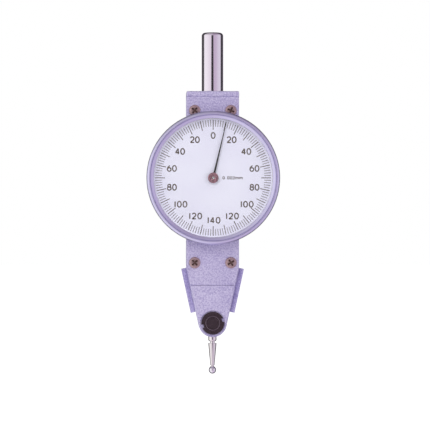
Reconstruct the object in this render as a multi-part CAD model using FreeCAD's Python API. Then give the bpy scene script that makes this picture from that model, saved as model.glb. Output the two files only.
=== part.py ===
"""Lever-type dial test indicator with a vertical dial, in millimetres.

The stem points up (+Z) and the dial faces the front (-Y). The origin lies on the stem's axis, on the
shoulder where the stem meets the case, and the contact lever swings in the plane Y = 0. Drops are
measured down from that shoulder. Angles are measured clockwise from +Z, seen from the front. The case
closes round the movement: its width, its depth and the stations down its length follow from the train,
the named clearances and the walls.
"""

import FreeCAD, Part
import math
import os

# ---- stations down the length ----------------------------------------------------------------
DIAL_DROP = 23.95            # centre of dial, hand and bezel
BAND_HEIGHT = 1.37          # end wall above the front plate
TAPER_BELOW_SCREWS = 1.52   # from the lower screws to where the case starts to narrow
SEAM_BELOW_TAPER = 4.77     # from there to the lower end of the front plate
NOSE_LENGTH = 10.38         # from that seam to the fulcrum of the contact lever

# ---- stem ------------------------------------------------------------------------------------
STEM_DIA = 6.0
STEM_LENGTH = 16.35
STEM_TOP_ROUND = 0.9
STEM_SHOULDER = 0.5
STEM_FLOOR = 2.0            # metal below the spigot

# ---- case ------------------------------------------------------------------------------------
BACK_WALL = 1.6
SIDE_WALL = 1.15
WHEEL_SIDE_GAP = 0.58       # between the largest wheel and the side walls
COVER_GAP = 0.45            # between the bridge screws and the front plate
REAR_GAP = 0.9              # between the lever and the movement's rear plate
TOP_BLOCK = 8.65             # solid metal below the shoulder that holds the stem
POCKET_END_LAND = 1.4       # seat that is left for the lower end of the front plate
POCKET_CORNER = 1.0
CASE_EDGE_ROUND = 0.4
BAND_PROUD = 0.1            # end wall in front of the front plate
NOSE_RADIUS = 3.9
NOSE_RIM = 0.45             # round the cap's seat
NOSE_SLOPE = 3.5            # degrees that the nose thins towards its tip
NOSE_CHAMFER = 0.3
SLOT_EDGE_CLEARANCE = 0.1   # beside the lever's hub
SWING_CLEARANCE = 2.4       # side slot above the fulcrum, for the contact lever's swing

# ---- dovetail rails on the tapered flanks ----------------------------------------------------
RAIL_LENGTH = 12.35
RAIL_HEIGHT = 1.42
RAIL_WIDTH = 6.0
RAIL_FLANK_ANGLE = 60.0
RAIL_ROOT_DEPTH = 0.4       # how far the rail's root reaches into the case
RAIL_RELIEF = 0.3           # groove along the foot of each flank, this wide and deep

# ---- front plate and its screws --------------------------------------------------------------
PLATE_THICKNESS = 1.2
PLATE_INSET = 0.1
PLATE_END_GAP = 0.06        # between the front plate and the nose
PLATE_CHAMFER = 0.15
ARBOR_HOLE_DIA = 3.0
SCREW_SIDE_MARGIN = 2.27    # from the case's side to the screws
UPPER_SCREW_DROP = 5.39
BOSS_GAP = 0.58             # between the lower screws' bosses and the movement
SCREW_HEAD_DIA = 3.13
SCREW_HEAD_HEIGHT = 0.7
SCREW_SHANK_DIA = 1.6
SCREW_REACH = 3.0           # thread below the plate
SCREW_BOSS_DIA = 3.2
RECESS_SPAN = 1.8
RECESS_WIDTH = 0.42
RECESS_DEPTH = 0.4
HEAD_ROUND = 0.3

# ---- dial pan --------------------------------------------------------------------------------
PAN_BASE_DIA = 26.0
PAN_BASE = 0.8
PAN_FLOOR = 0.6
PAN_WALL = 0.9
PAN_WALL_HEIGHT = 1.55
PAN_SCREW_SIDE_MARGIN = 2.85
PAN_SCREW_RISE = 6.5        # above and below the dial's centre
SMALL_HEAD_DIA = 1.8
SMALL_HEAD_HEIGHT = 0.55
SMALL_SHANK_DIA = 1.0
DRIVER_SLOT_WIDTH = 0.3
DRIVER_SLOT_DEPTH = 0.25

# ---- bezel, crystal and dial -----------------------------------------------------------------
BEZEL_DIA = 36.5
BEZEL_WALL = 1.3
BEZEL_RUNNING_CLEARANCE = 0.05
BEZEL_REAR_GAP = 0.1        # the bezel's rear face in front of the pan's
BEZEL_SHOULDER = 0.95       # from the outside to the crest
BEZEL_BEVEL = 1.0           # from the crest to the opening
BEZEL_SHOULDER_ROUND = 0.85
BEZEL_GROOVE_WIDTH = 0.2
BEZEL_GROOVE_DEPTH = 0.2
BEZEL_STEP = 0.05           # bevel's outer edge behind the crest
BEZEL_LIP = 0.2             # edge of the opening, in front of the crystal
BEZEL_BEVEL_RISE = 0.35
KNURL_INSET = 0.25          # crests inside the bezel's largest diameter
KNURL_DEPTH = 0.25
KNURL_COUNT = 120
KNURL_LENGTH = 2.5
RELIEF_WIDTH = 0.3
RELIEF_DEPTH = 0.3
CRYSTAL_LEDGE = 0.3
CRYSTAL_THICKNESS = 0.8
CRYSTAL_GAP = 0.28          # between the arbor's tip and the crystal
SPACER_LEDGE = 0.1          # spacer inside the bezel's opening
DIAL_THICKNESS = 0.4
DIAL_HOLE_DIA = 2.6
RETAINER_THICKNESS = 0.4
RETAINER_WIDTH = 0.75
RETAINER_GAP = 0.1          # between the retaining ring and the pan's rim
SNAP_RING_WIDTH = 0.5
SNAP_RING_SEAT = 0.3        # depth in the pan
SNAP_RING_PROUD = 0.3
SNAP_RING_SIDE_CLEARANCE = 0.05
SNAP_RING_OFFSET = 0.35     # from the pan's back
RING_SPLIT = 1.5            # gap in each split ring

# ---- hand ------------------------------------------------------------------------------------
POINTER_REST = 13.2         # degrees
POINTER_GAP = 0.63          # between the hand's tip and the bezel's opening
POINTER_ROOT_WIDTH = 0.56
POINTER_TIP_WIDTH = 0.14
POINTER_THICKNESS = 0.15
POINTER_EYE_DIA = 2.6
POINTER_ABOVE_DIAL = 0.6
HUB_DIA = 2.9
HUB_FLANGE = 0.45
HUB_ROUND = 0.15
HUB_COLLAR_DIA = 1.6
HUB_COLLAR = 0.4
ARBOR_TIP_PROUD = 0.12

# ---- movement frame --------------------------------------------------------------------------
MOVEMENT_PLATE = 0.75
MOVEMENT_ABOVE_DIAL = 7.1   # plate above the dial's centre
MOVEMENT_END_MARGIN = 1.6   # plate below the sector's arbor
MOVEMENT_SIDE_GAP = 0.3
MOVEMENT_CORNER = 0.8
BRIDGE_GAP = 0.2            # between the bridge and the centre pinion
PILLAR_DIA = 2.0
PILLAR_SPIGOT_DIA = 1.2
PILLAR_SIDE_MARGIN = 1.1
PILLAR_END_MARGIN = 1.6     # from the frame's upper edge
PILLAR_ABOVE_SECTOR = 5.0
BRIDGE_SCREW_REACH = 1.5
FIXING_SCREW_REACH = 1.2
FIXING_SIDE_MARGIN = 1.4
FIXING_ABOVE_SECTOR = 0.9
FIXING_END_MARGIN = 0.3

# ---- train: sector, intermediate wheel, centre pinion ----------------------------------------
DIVISIONS = 140
DIVISION_VALUE = 0.002      # travel of the ball for each division of the dial
CENTRE_PINION_TEETH = 12
WHEEL_TEETH = 72
FAST_MODULE = 0.15
PINION_TEETH = 12
SECTOR_FULL_TEETH = 120
SLOW_MODULE = 0.2
SECTOR_CUT_TEETH = 11
PRESSURE_ANGLE = 25.0
ADDENDUM = 0.8              # in modules
DEDENDUM = 1.05             # in modules
TOOTH_THINNING = 0.09       # in modules, for backlash
PIVOT_DIA = 0.4
PIVOT_CLEARANCE = 0.03
END_FLOAT = 0.1
PIVOT_TAIL = 0.1            # clearance behind each rear pivot
JEWEL_DIA = 1.5
SLIM_ARBOR_DIA = 0.9
SECTOR_ARBOR_DIA = 1.0
HAND_ARBOR_DIA = 0.7
CENTRE_ARBOR_DIA = 1.0
CENTRE_PINION_OVERHANG = 0.3
WHEEL_GAP = 0.6             # between the intermediate wheel and its pinion
WHEEL_THICKNESS = 0.4
WHEEL_RIM = 0.55
WHEEL_HUB_DIA = 2.6
WHEEL_SPOKES = 4
WHEEL_SPOKE_WIDTH = 0.6
WHEEL_SEAT_DIA = 1.8
WHEEL_SEAT = 0.35
SECTOR_GAP = 0.3            # between the sector and the lever's arm
SECTOR_THICKNESS = 0.6
PINION_OVERHANG = 0.1       # the pinion is wider than the sector on both sides
SECTOR_RIM = 1.3
SECTOR_HUB_DIA = 3.8
SECTOR_SPOKE_WIDTH = 0.8
SECTOR_WINDOW_START = 4.0
SECTOR_SEAT_DIA = 2.6
SECTOR_SEAT = 0.4
FORK_PRONG = 0.6
FORK_CLEARANCE = 0.02
FORK_OVERRUN = 0.9          # prongs beyond the drive pin's centre

# ---- hairspring ------------------------------------------------------------------------------
HAIRSPRING_STANDOFF = 1.1   # from the rear plate
HAIRSPRING_WIDTH = 0.3
HAIRSPRING_STRIP = 0.08
HAIRSPRING_PITCH = 0.6
HAIRSPRING_HALF_TURNS = 8
COLLET_DIA = 2.0
COLLET_OVERHANG = 0.1
STUD_DIA = 1.0
STUD_OVERHANG = 0.2

# ---- fulcrum, lever and friction clutch ------------------------------------------------------
BALL_ARM = 13.1             # fulcrum to the centre of the ball
LEVER_SWING = 0.72          # degrees to each side, up to the stop pins
SHAFT_DIA = 1.2
SHAFT_PIVOT_DIA = 0.6
BEARING_JEWEL_DIA = 1.8
BEARING_JEWEL_THICKNESS = 0.8
BEARING_BODY_DIA = 4.0
BEARING_RECESS = 0.2
BEARING_RELIEF_DIA = 0.9
BEARING_RELIEF = 0.4
SLOT_SIDE_CLEARANCE = 0.1
CAP_FLANGE = 0.9
CAP_RIM = 1.15               # lower rim round the raised ring
CAP_DISH = 0.15
CAP_SEAT_CLEARANCE = 0.3
CAP_SEAT_DEPTH = 0.05
CAP_NOTCH_WIDTH = 1.0
CAP_NOTCH_LENGTH = 0.55
CAP_NOTCH_ANGLE = 17.0
BUSH_SLOT_WIDTH = 0.7
BUSH_SLOT_DEPTH = 0.6
BUSH_INSET = 0.2
LEVER_HUB_DIA = 4.8
LEVER_HUB = 1.0
LEVER_ARM = 0.8
LEVER_ROOT_WIDTH = 3.2
LEVER_TIP_WIDTH = 2.0
LEVER_HOLE_DIA = 1.1
LEVER_HOLE_SHARES = (1 / 3, 2 / 3)  # along the arm
DRIVE_PIN_DIA = 0.8
DRIVE_PIN_OVERRUN = 0.2
STOP_PIN_DIA = 1.0
STOP_PIN_INSET = 1.22       # from the pocket's lower end
STOP_PIN_SEAT = 0.8
STOP_MARGIN = 0.03
CLUTCH_NUT_DIA = 2.6
CLUTCH_NUT = 0.45
CLUTCH_WASHER_DIA = 4.0
CLUTCH_WASHER_HEIGHT = 0.6
CLUTCH_WASHER_STRIP = 0.2
CLUTCH_WASHER_LAND = 0.3

# ---- contact lever ---------------------------------------------------------------------------
HOLDER_DISC_DIA = 5.0
HOLDER_DISC = 1.0
HOLDER_BORE_CLEARANCE = 0.03
BARREL_DIA = 2.3
BARREL_REACH = 5.2
BARREL_ROUND = 0.45
BARREL_CLEARANCE = 0.15     # between the barrel and the lever's hub
TIP_THREAD_DIA = 1.2
TIP_THREAD_LENGTH = 1.6
TIP_NECK = 0.45
TIP_END_DIA = 1.2
TIP_BODY_TO_BALL = 1.35     # from the tapered body's end to the ball's centre
TIP_EDGE = 0.2
BALL_DIA = 2.1
BALL_NECK_DIA = 0.85

# ---- train, worked out from the sizes above --------------------------------------------------
WHEEL_DROP = DIAL_DROP + FAST_MODULE * (CENTRE_PINION_TEETH + WHEEL_TEETH) / 2
SECTOR_DROP = WHEEL_DROP + SLOW_MODULE * (PINION_TEETH + SECTOR_FULL_TEETH) / 2
WHEEL_TIP_RADIUS = FAST_MODULE * (WHEEL_TEETH / 2 + ADDENDUM)
TRAIN_RATIO = (WHEEL_TEETH / CENTRE_PINION_TEETH) * (SECTOR_FULL_TEETH / PINION_TEETH)
HAND_PER_LEVER = 2 * math.pi * BALL_ARM / (DIVISIONS * DIVISION_VALUE)
FORK_RATIO = HAND_PER_LEVER / TRAIN_RATIO

# ---- planes across the depth, from the contact lever outwards --------------------------------
DISC_HALF = HOLDER_DISC / 2
WASHER_FRONT = -DISC_HALF - CLUTCH_WASHER_HEIGHT
NUT_FRONT = WASHER_FRONT - CLUTCH_NUT
LEVER_HUB_BACK = DISC_HALF + LEVER_HUB
LEVER_ARM_FRONT = LEVER_HUB_BACK - LEVER_ARM
SLOT_FRONT = NUT_FRONT - SLOT_SIDE_CLEARANCE
SLOT_BACK = LEVER_HUB_BACK + SLOT_SIDE_CLEARANCE
BEARING_FRONT_FACE = SLOT_FRONT - BEARING_RECESS
BEARING_BACK_FACE = SLOT_BACK + BEARING_RECESS

SECTOR_BACK = LEVER_ARM_FRONT - SECTOR_GAP
SECTOR_FRONT = SECTOR_BACK - SECTOR_THICKNESS
PINION_FRONT = SECTOR_FRONT - PINION_OVERHANG
PINION_BACK = SECTOR_BACK + PINION_OVERHANG
WHEEL_BACK = PINION_FRONT - WHEEL_GAP
WHEEL_FRONT = WHEEL_BACK - WHEEL_THICKNESS
CENTRE_PINION_FRONT = WHEEL_FRONT - CENTRE_PINION_OVERHANG
CENTRE_PINION_BACK = WHEEL_BACK + CENTRE_PINION_OVERHANG

BRIDGE_BACK = CENTRE_PINION_FRONT - BRIDGE_GAP
BRIDGE_FRONT = BRIDGE_BACK - MOVEMENT_PLATE
REAR_PLATE_FRONT = LEVER_HUB_BACK + REAR_GAP
POCKET_FLOOR = REAR_PLATE_FRONT + MOVEMENT_PLATE
CASE_BACK = POCKET_FLOOR + BACK_WALL
PLATE_BACK = BRIDGE_FRONT - SMALL_HEAD_HEIGHT - COVER_GAP
PLATE_FRONT = PLATE_BACK - PLATE_THICKNESS
BAND_FRONT = PLATE_FRONT - BAND_PROUD
HAIRSPRING_BACK = REAR_PLATE_FRONT - HAIRSPRING_STANDOFF
HAIRSPRING_FRONT = HAIRSPRING_BACK - HAIRSPRING_WIDTH

PAN_BACK = PLATE_FRONT - PAN_BASE
PAN_FRONT = PAN_BACK - PAN_FLOOR
PAN_RIM = PAN_BACK - PAN_WALL_HEIGHT
BEZEL_REAR = PAN_BACK - BEZEL_REAR_GAP
SNAP_RING_BACK = PAN_BACK - SNAP_RING_OFFSET
SNAP_RING_FRONT = SNAP_RING_BACK - SNAP_RING_WIDTH
RETAINER_BACK = PAN_RIM - RETAINER_GAP
DIAL_BACK = RETAINER_BACK - RETAINER_THICKNESS
DIAL_FRONT = DIAL_BACK - DIAL_THICKNESS
POINTER_BACK = DIAL_FRONT - POINTER_ABOVE_DIAL
POINTER_FRONT = POINTER_BACK - POINTER_THICKNESS
HUB_FRONT = POINTER_FRONT - HUB_FLANGE
ARBOR_TIP = HUB_FRONT - ARBOR_TIP_PROUD
CRYSTAL_BACK = ARBOR_TIP - CRYSTAL_GAP
CRYSTAL_FRONT = CRYSTAL_BACK - CRYSTAL_THICKNESS
BEZEL_FRONT = CRYSTAL_FRONT - BEZEL_LIP - BEZEL_BEVEL_RISE

# ---- widths and diameters, worked out from the sizes above -----------------------------------
POCKET_HALF = WHEEL_TIP_RADIUS + WHEEL_SIDE_GAP
CASE_HALF = POCKET_HALF + SIDE_WALL
CASE_WIDTH = 2 * CASE_HALF
MOVEMENT_HALF = POCKET_HALF - MOVEMENT_SIDE_GAP
SLOT_WIDTH = max(HOLDER_DISC_DIA, LEVER_HUB_DIA) + 2 * SLOT_EDGE_CLEARANCE
STEM_SPIGOT_DIA = STEM_DIA - 2 * STEM_SHOULDER
STEM_SPIGOT_LENGTH = TOP_BLOCK - STEM_FLOOR
CAP_SEAT_RADIUS = NOSE_RADIUS - NOSE_RIM
CAP_DIA = 2 * (CAP_SEAT_RADIUS - CAP_SEAT_CLEARANCE)
CAP_RING_DIA = CAP_DIA - 2 * CAP_RIM
TIP_ROOT_DIA = BARREL_DIA
BEZEL_BORE_DIA = BEZEL_DIA - 2 * BEZEL_WALL
BEZEL_CREST_DIA = BEZEL_DIA - 2 * BEZEL_SHOULDER
BEZEL_OPENING_DIA = BEZEL_CREST_DIA - 2 * BEZEL_BEVEL
KNURL_DIA = BEZEL_DIA - 2 * KNURL_INSET
CRYSTAL_DIA = BEZEL_OPENING_DIA + 2 * CRYSTAL_LEDGE
SPACER_BORE_DIA = BEZEL_OPENING_DIA - 2 * SPACER_LEDGE
RETAINER_BORE_DIA = BEZEL_BORE_DIA - 2 * RETAINER_WIDTH
PAN_RADIUS = BEZEL_BORE_DIA / 2 - BEZEL_RUNNING_CLEARANCE
POINTER_REACH = BEZEL_OPENING_DIA / 2 - POINTER_GAP

# ---- drops, worked out from the sizes above --------------------------------------------------
MOVEMENT_TOP_DROP = DIAL_DROP - MOVEMENT_ABOVE_DIAL
MOVEMENT_END_DROP = SECTOR_DROP + MOVEMENT_END_MARGIN
LOWER_SCREW_DROP = MOVEMENT_END_DROP + BOSS_GAP + SCREW_BOSS_DIA / 2
TAPER_DROP = LOWER_SCREW_DROP + TAPER_BELOW_SCREWS
SEAM_DROP = TAPER_DROP + SEAM_BELOW_TAPER
PIVOT_DROP = SEAM_DROP + NOSE_LENGTH
POCKET_END_DROP = SEAM_DROP - POCKET_END_LAND
STOP_PIN_DROP = POCKET_END_DROP - STOP_PIN_INSET
STOP_PIN_ARM = PIVOT_DROP - STOP_PIN_DROP
FORK_ARM = (PIVOT_DROP - SECTOR_DROP) / (1 + FORK_RATIO)
DRIVE_PIN_DROP = SECTOR_DROP + FORK_ARM
LEVER_REACH = PIVOT_DROP - DRIVE_PIN_DROP
NOSE_RUN = NOSE_LENGTH + CAP_SEAT_RADIUS
CAP_SEAT = PLATE_FRONT + NOSE_RUN * math.tan(math.radians(NOSE_SLOPE)) + CAP_SEAT_DEPTH

ALONG_Y = FreeCAD.Vector(0, 1, 0)
ALONG_Z = FreeCAD.Vector(0, 0, 1)
NEAR = 1e-4                 # distance within which an edge counts as lying in a plane
SPARE = 1.0                 # how far cutting tools reach into the open


# ---- small helpers ---------------------------------------------------------------------------
def at(x, y, z):
    """A point or a direction."""
    return FreeCAD.Vector(x, y, z)


def polar(radius, angle, drop, x=0.0):
    """Point in the plane Y = 0, at an angle in radians clockwise from +Z round a centre."""
    return at(x + radius * math.sin(angle), 0, -drop + radius * math.cos(angle))


def rod(diameter, y_start, y_end, drop, x=0.0):
    """Round bar along Y."""
    return Part.makeCylinder(diameter / 2, y_end - y_start, at(x, y_start, -drop), ALONG_Y)


def ring(outer_dia, inner_dia, y_start, y_end, drop, x=0.0):
    """Tube along Y."""
    return rod(outer_dia, y_start, y_end, drop, x).cut(rod(inner_dia, y_start, y_end, drop, x))


def block(x_start, x_end, y_start, y_end, z_start, z_end):
    """Box between three pairs of planes."""
    corner = at(x_start, y_start, z_start)
    return Part.makeBox(x_end - x_start, y_end - y_start, z_end - z_start, corner)


def prism(edges, y_start, y_end):
    """Closed outline drawn in the plane Y = 0, filled and given a depth along Y."""
    face = Part.Face(Part.Wire(edges))
    face.translate(at(0, y_start, 0))
    return face.extrude(at(0, y_end - y_start, 0))


def polygon(points):
    """Edges of a closed polygon."""
    return Part.makePolygon(points + points[:1]).Edges


def line(start, end):
    """Straight edge."""
    return Part.LineSegment(start, end).toShape()


def arc(start, middle, end):
    """Round edge through three points."""
    return Part.Arc(start, middle, end).toShape()


def turned(profile, drop):
    """Solid of revolution round Y, from a profile of (radius, y) corners."""
    corners = [at(radius, y, -drop) for radius, y in profile]
    face = Part.Face(Part.makePolygon(corners + corners[:1]))
    return face.revolve(at(0, 0, -drop), ALONG_Y, 360)


def spun(profile):
    """Solid of revolution round the Z axis, from a profile of (radius, z) corners."""
    corners = [at(radius, 0, z) for radius, z in profile]
    face = Part.Face(Part.makePolygon(corners + corners[:1]))
    return face.revolve(at(0, 0, 0), ALONG_Z, 360)


def round_edges(shape, wanted, radius):
    """Fillet of the edges for which wanted(edge) holds."""
    return shape.makeFillet(radius, [edge for edge in shape.Edges if wanted(edge)])


def is_circle(edge, diameter):
    """Whether an edge is part of a circle of this diameter."""
    return isinstance(edge.Curve, Part.Circle) and abs(edge.Curve.Radius - diameter / 2) < NEAR


def front_rim(diameter, y):
    """Test for the round edge of this diameter in the plane at y."""
    return lambda edge: is_circle(edge, diameter) and abs(edge.BoundBox.YMax - y) < NEAR


def level_rim(diameter, z):
    """Test for the round edge of this diameter at a height."""
    return lambda edge: is_circle(edge, diameter) and abs(edge.BoundBox.ZMax - z) < NEAR


def rods(diameter, y_start, y_end, places):
    """Round bars along Y at several (x, drop) places."""
    return [rod(diameter, y_start, y_end, drop, x) for x, drop in places]


def clockwise(shape, degrees, drop):
    """A copy turned clockwise, seen from the front, round an axis at this drop."""
    copy = shape.copy()
    copy.rotate(at(0, 0, -drop), ALONG_Y, degrees)
    return copy


def mirrored(shape):
    """A copy on the other side of the plane X = 0."""
    return shape.mirror(at(0, 0, 0), at(1, 0, 0))


def group(solids):
    """Separate solids of one kind in one sub-part."""
    return Part.makeCompound(solids)


# ---- case outline ----------------------------------------------------------------------------
def taper_angle(half_width):
    """Half-angle of the flanks, from the given half width to a tangent on the nose."""
    run = PIVOT_DROP - TAPER_DROP
    nose = NOSE_RADIUS - (CASE_HALF - half_width)
    return math.atan2(half_width, run) - math.asin(nose / math.hypot(half_width, run))


def flank_x(half_width, drop):
    """Half width of an outline at a drop on the tapered stretch."""
    return half_width - (drop - TAPER_DROP) * math.tan(taper_angle(half_width))


def case_outline(top_drop):
    """Edges of the case seen from the front: straight sides, tapered flanks, round nose."""
    angle = taper_angle(CASE_HALF)
    foot_x = NOSE_RADIUS * math.cos(angle)
    foot_z = -PIVOT_DROP - NOSE_RADIUS * math.sin(angle)
    left_top = at(-CASE_HALF, 0, -top_drop)
    right_top = at(CASE_HALF, 0, -top_drop)
    left_bend = at(-CASE_HALF, 0, -TAPER_DROP)
    right_bend = at(CASE_HALF, 0, -TAPER_DROP)
    left_foot = at(-foot_x, 0, foot_z)
    right_foot = at(foot_x, 0, foot_z)
    tip = at(0, 0, -PIVOT_DROP - NOSE_RADIUS)
    return [
        line(left_top, right_top),
        line(right_top, right_bend),
        line(right_bend, right_foot),
        arc(right_foot, tip, left_foot),
        line(left_foot, left_bend),
        line(left_bend, left_top),
    ]


def end_band():
    """End wall on top of the case, over its full depth, with rounded edges."""
    band = block(-CASE_HALF, CASE_HALF, BAND_FRONT, CASE_BACK, -BAND_HEIGHT, 0)
    return round_edges(band, lambda edge: edge.BoundBox.ZMax > -NEAR, CASE_EDGE_ROUND)


def nose_wedge():
    """Metal taken off the front so that the nose thins towards its tip."""
    fall = 2 * NOSE_RUN
    depth = fall * math.tan(math.radians(NOSE_SLOPE))
    corners = [
        at(-CASE_WIDTH, PLATE_FRONT, -SEAM_DROP),
        at(-CASE_WIDTH, PLATE_FRONT + depth, -SEAM_DROP - fall),
        at(-CASE_WIDTH, PLATE_FRONT - depth, -SEAM_DROP - fall),
        at(-CASE_WIDTH, PLATE_FRONT - depth, -SEAM_DROP),
    ]
    return Part.Face(Part.makePolygon(corners + corners[:1])).extrude(at(2 * CASE_WIDTH, 0, 0))


def on_nose_front(edge):
    """Whether an edge bounds the sloping front of the nose, apart from the seam."""
    rise = math.tan(math.radians(NOSE_SLOPE))
    ends = [vertex.Point for vertex in edge.Vertexes]
    level = [abs(PLATE_FRONT + (-SEAM_DROP - end.z) * rise - end.y) < NEAR for end in ends]
    return all(level) and min(end.z for end in ends) < -SEAM_DROP - NEAR


def on_back_outline(edge):
    """Whether an edge lies on the back of the case, apart from the one under the end wall."""
    return edge.BoundBox.YMin > CASE_BACK - NEAR and edge.BoundBox.ZMin < -BAND_HEIGHT - NEAR


def case_shell():
    """Outside of the case without rails, with the seat for the front plate."""
    shell = prism(case_outline(BAND_HEIGHT), PLATE_FRONT, CASE_BACK)
    shell = round_edges(shell, on_back_outline, CASE_EDGE_ROUND)
    shell = shell.cut(nose_wedge())
    shell = shell.makeChamfer(NOSE_CHAMFER, [edge for edge in shell.Edges if on_nose_front(edge)])
    seat = block(-CASE_WIDTH, CASE_WIDTH, PLATE_FRONT - SPARE, PLATE_BACK, -SEAM_DROP, 0)
    return shell.cut(seat).fuse(end_band())


def dovetail_rail():
    """Right-hand dovetail rail, square to the tapered flank."""
    angle = taper_angle(CASE_HALF)
    out = at(math.cos(angle), 0, -math.sin(angle))
    down = at(-math.sin(angle), 0, -math.cos(angle))
    crest = RAIL_WIDTH / 2
    foot = crest - (RAIL_HEIGHT - RAIL_RELIEF) / math.tan(math.radians(RAIL_FLANK_ANGLE))
    neck = foot - RAIL_RELIEF
    start = at(CASE_HALF, 0, -TAPER_DROP)
    half = [
        (RAIL_HEIGHT, crest),
        (RAIL_RELIEF, foot),
        (RAIL_RELIEF, neck),
        (-RAIL_ROOT_DEPTH, neck),
    ]
    outline = half + [(height, -depth) for height, depth in reversed(half)]
    corners = [start + out * height + at(0, depth, 0) for height, depth in outline]
    return Part.Face(Part.makePolygon(corners + corners[:1])).extrude(down * RAIL_LENGTH)


def is_pocket_corner(edge):
    """Whether an edge is one of the pocket's four corners, which run along Y."""
    box = edge.BoundBox
    at_end = min(abs(box.ZMin + drop) for drop in (TOP_BLOCK, POCKET_END_DROP)) < NEAR
    return at_end and box.YLength > NEAR and box.ZLength < NEAR


def pocket():
    """Room for the movement, open to the front."""
    end_half = flank_x(CASE_HALF, POCKET_END_DROP) - SIDE_WALL
    corners = [
        at(-POCKET_HALF, 0, -TOP_BLOCK),
        at(POCKET_HALF, 0, -TOP_BLOCK),
        at(POCKET_HALF, 0, -TAPER_DROP),
        at(end_half, 0, -POCKET_END_DROP),
        at(-end_half, 0, -POCKET_END_DROP),
        at(-POCKET_HALF, 0, -TAPER_DROP),
    ]
    room = prism(polygon(corners), PLATE_BACK, POCKET_FLOOR)
    return round_edges(room, is_pocket_corner, POCKET_CORNER)


def nose_slot():
    """Slot between the two cheeks of the nose, and the passage from there to the pocket."""
    opening = PIVOT_DROP - SWING_CLEARANCE
    bottom = PIVOT_DROP + 2 * NOSE_RADIUS
    passage = block(-SLOT_WIDTH / 2, SLOT_WIDTH / 2, SLOT_FRONT, SLOT_BACK, -opening, -POCKET_END_DROP)
    return passage.fuse(block(-CASE_WIDTH, CASE_WIDTH, SLOT_FRONT, SLOT_BACK, -bottom, -opening))


def screw_places():
    """(x, drop) of the four front plate screws."""
    drops = (UPPER_SCREW_DROP, LOWER_SCREW_DROP)
    half_span = CASE_HALF - SCREW_SIDE_MARGIN
    return [(side * half_span, drop) for drop in drops for side in (-1, 1)]


def fixing_places():
    """(x, drop) of the screws that hold the movement in the case."""
    upper = MOVEMENT_TOP_DROP + SMALL_HEAD_DIA / 2 + FIXING_END_MARGIN
    lower = SECTOR_DROP - FIXING_ABOVE_SECTOR
    half_span = MOVEMENT_HALF - FIXING_SIDE_MARGIN
    return [(-half_span, lower), (half_span, lower), (0.0, upper)]


def stop_pin_offset():
    """Distance of each stop pin from the middle, where it meets the lever at the end of its swing."""
    share = STOP_PIN_ARM / LEVER_REACH
    half_arm = (LEVER_ROOT_WIDTH * (1 - share) + LEVER_TIP_WIDTH * share) / 2
    swing = STOP_PIN_ARM * math.sin(math.radians(LEVER_SWING))
    return half_arm + swing + STOP_MARGIN + STOP_PIN_DIA / 2


def stop_pin_places():
    """(x, drop) of the two stop pins, one on each side of the lever."""
    return [(side * stop_pin_offset(), STOP_PIN_DROP) for side in (-1, 1)]


def case_body():
    """Case with rails, pocket, bosses, slotted nose and all its holes."""
    rail = dovetail_rail()
    body = case_shell().fuse([rail, mirrored(rail)]).removeSplitter()
    body = body.cut(pocket())
    low_screws = [(x, drop) for x, drop in screw_places() if drop > TOP_BLOCK]
    body = body.fuse(rods(SCREW_BOSS_DIA, PLATE_BACK, POCKET_FLOOR, low_screws))
    spigot_foot = at(0, 0, -STEM_SPIGOT_LENGTH)
    holes = [
        nose_slot(),
        rod(2 * CAP_SEAT_RADIUS, PLATE_FRONT - SPARE, CAP_SEAT, PIVOT_DROP),
        rod(BEARING_BODY_DIA, CAP_SEAT, SLOT_FRONT, PIVOT_DROP),
        rod(BEARING_BODY_DIA, SLOT_BACK, CASE_BACK, PIVOT_DROP),
        Part.makeCylinder(STEM_SPIGOT_DIA / 2, STEM_SPIGOT_LENGTH, spigot_foot, ALONG_Z),
    ]
    holes += rods(SCREW_SHANK_DIA, PLATE_BACK, PLATE_BACK + SCREW_REACH, screw_places())
    holes += rods(SMALL_SHANK_DIA, POCKET_FLOOR, POCKET_FLOOR + FIXING_SCREW_REACH, fixing_places())
    holes += rods(STOP_PIN_DIA, POCKET_FLOOR, POCKET_FLOOR + STOP_PIN_SEAT, stop_pin_places())
    return body.cut(holes).removeSplitter()


def stem():
    """Clamping stem with the spigot that is pressed into the case."""
    bar = spun([
        (0, -STEM_SPIGOT_LENGTH),
        (STEM_SPIGOT_DIA / 2, -STEM_SPIGOT_LENGTH),
        (STEM_SPIGOT_DIA / 2, 0),
        (STEM_DIA / 2, 0),
        (STEM_DIA / 2, STEM_LENGTH),
        (0, STEM_LENGTH),
    ])
    return round_edges(bar, level_rim(STEM_DIA, STEM_LENGTH), STEM_TOP_ROUND)


# ---- front plate and screws ------------------------------------------------------------------
def pan_screw_places():
    """(x, drop) of the screws that hold the dial pan."""
    drops = (DIAL_DROP - PAN_SCREW_RISE, DIAL_DROP + PAN_SCREW_RISE)
    half_span = CASE_HALF - PAN_SCREW_SIDE_MARGIN
    return [(side * half_span, drop) for drop in drops for side in (-1, 1)]


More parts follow.
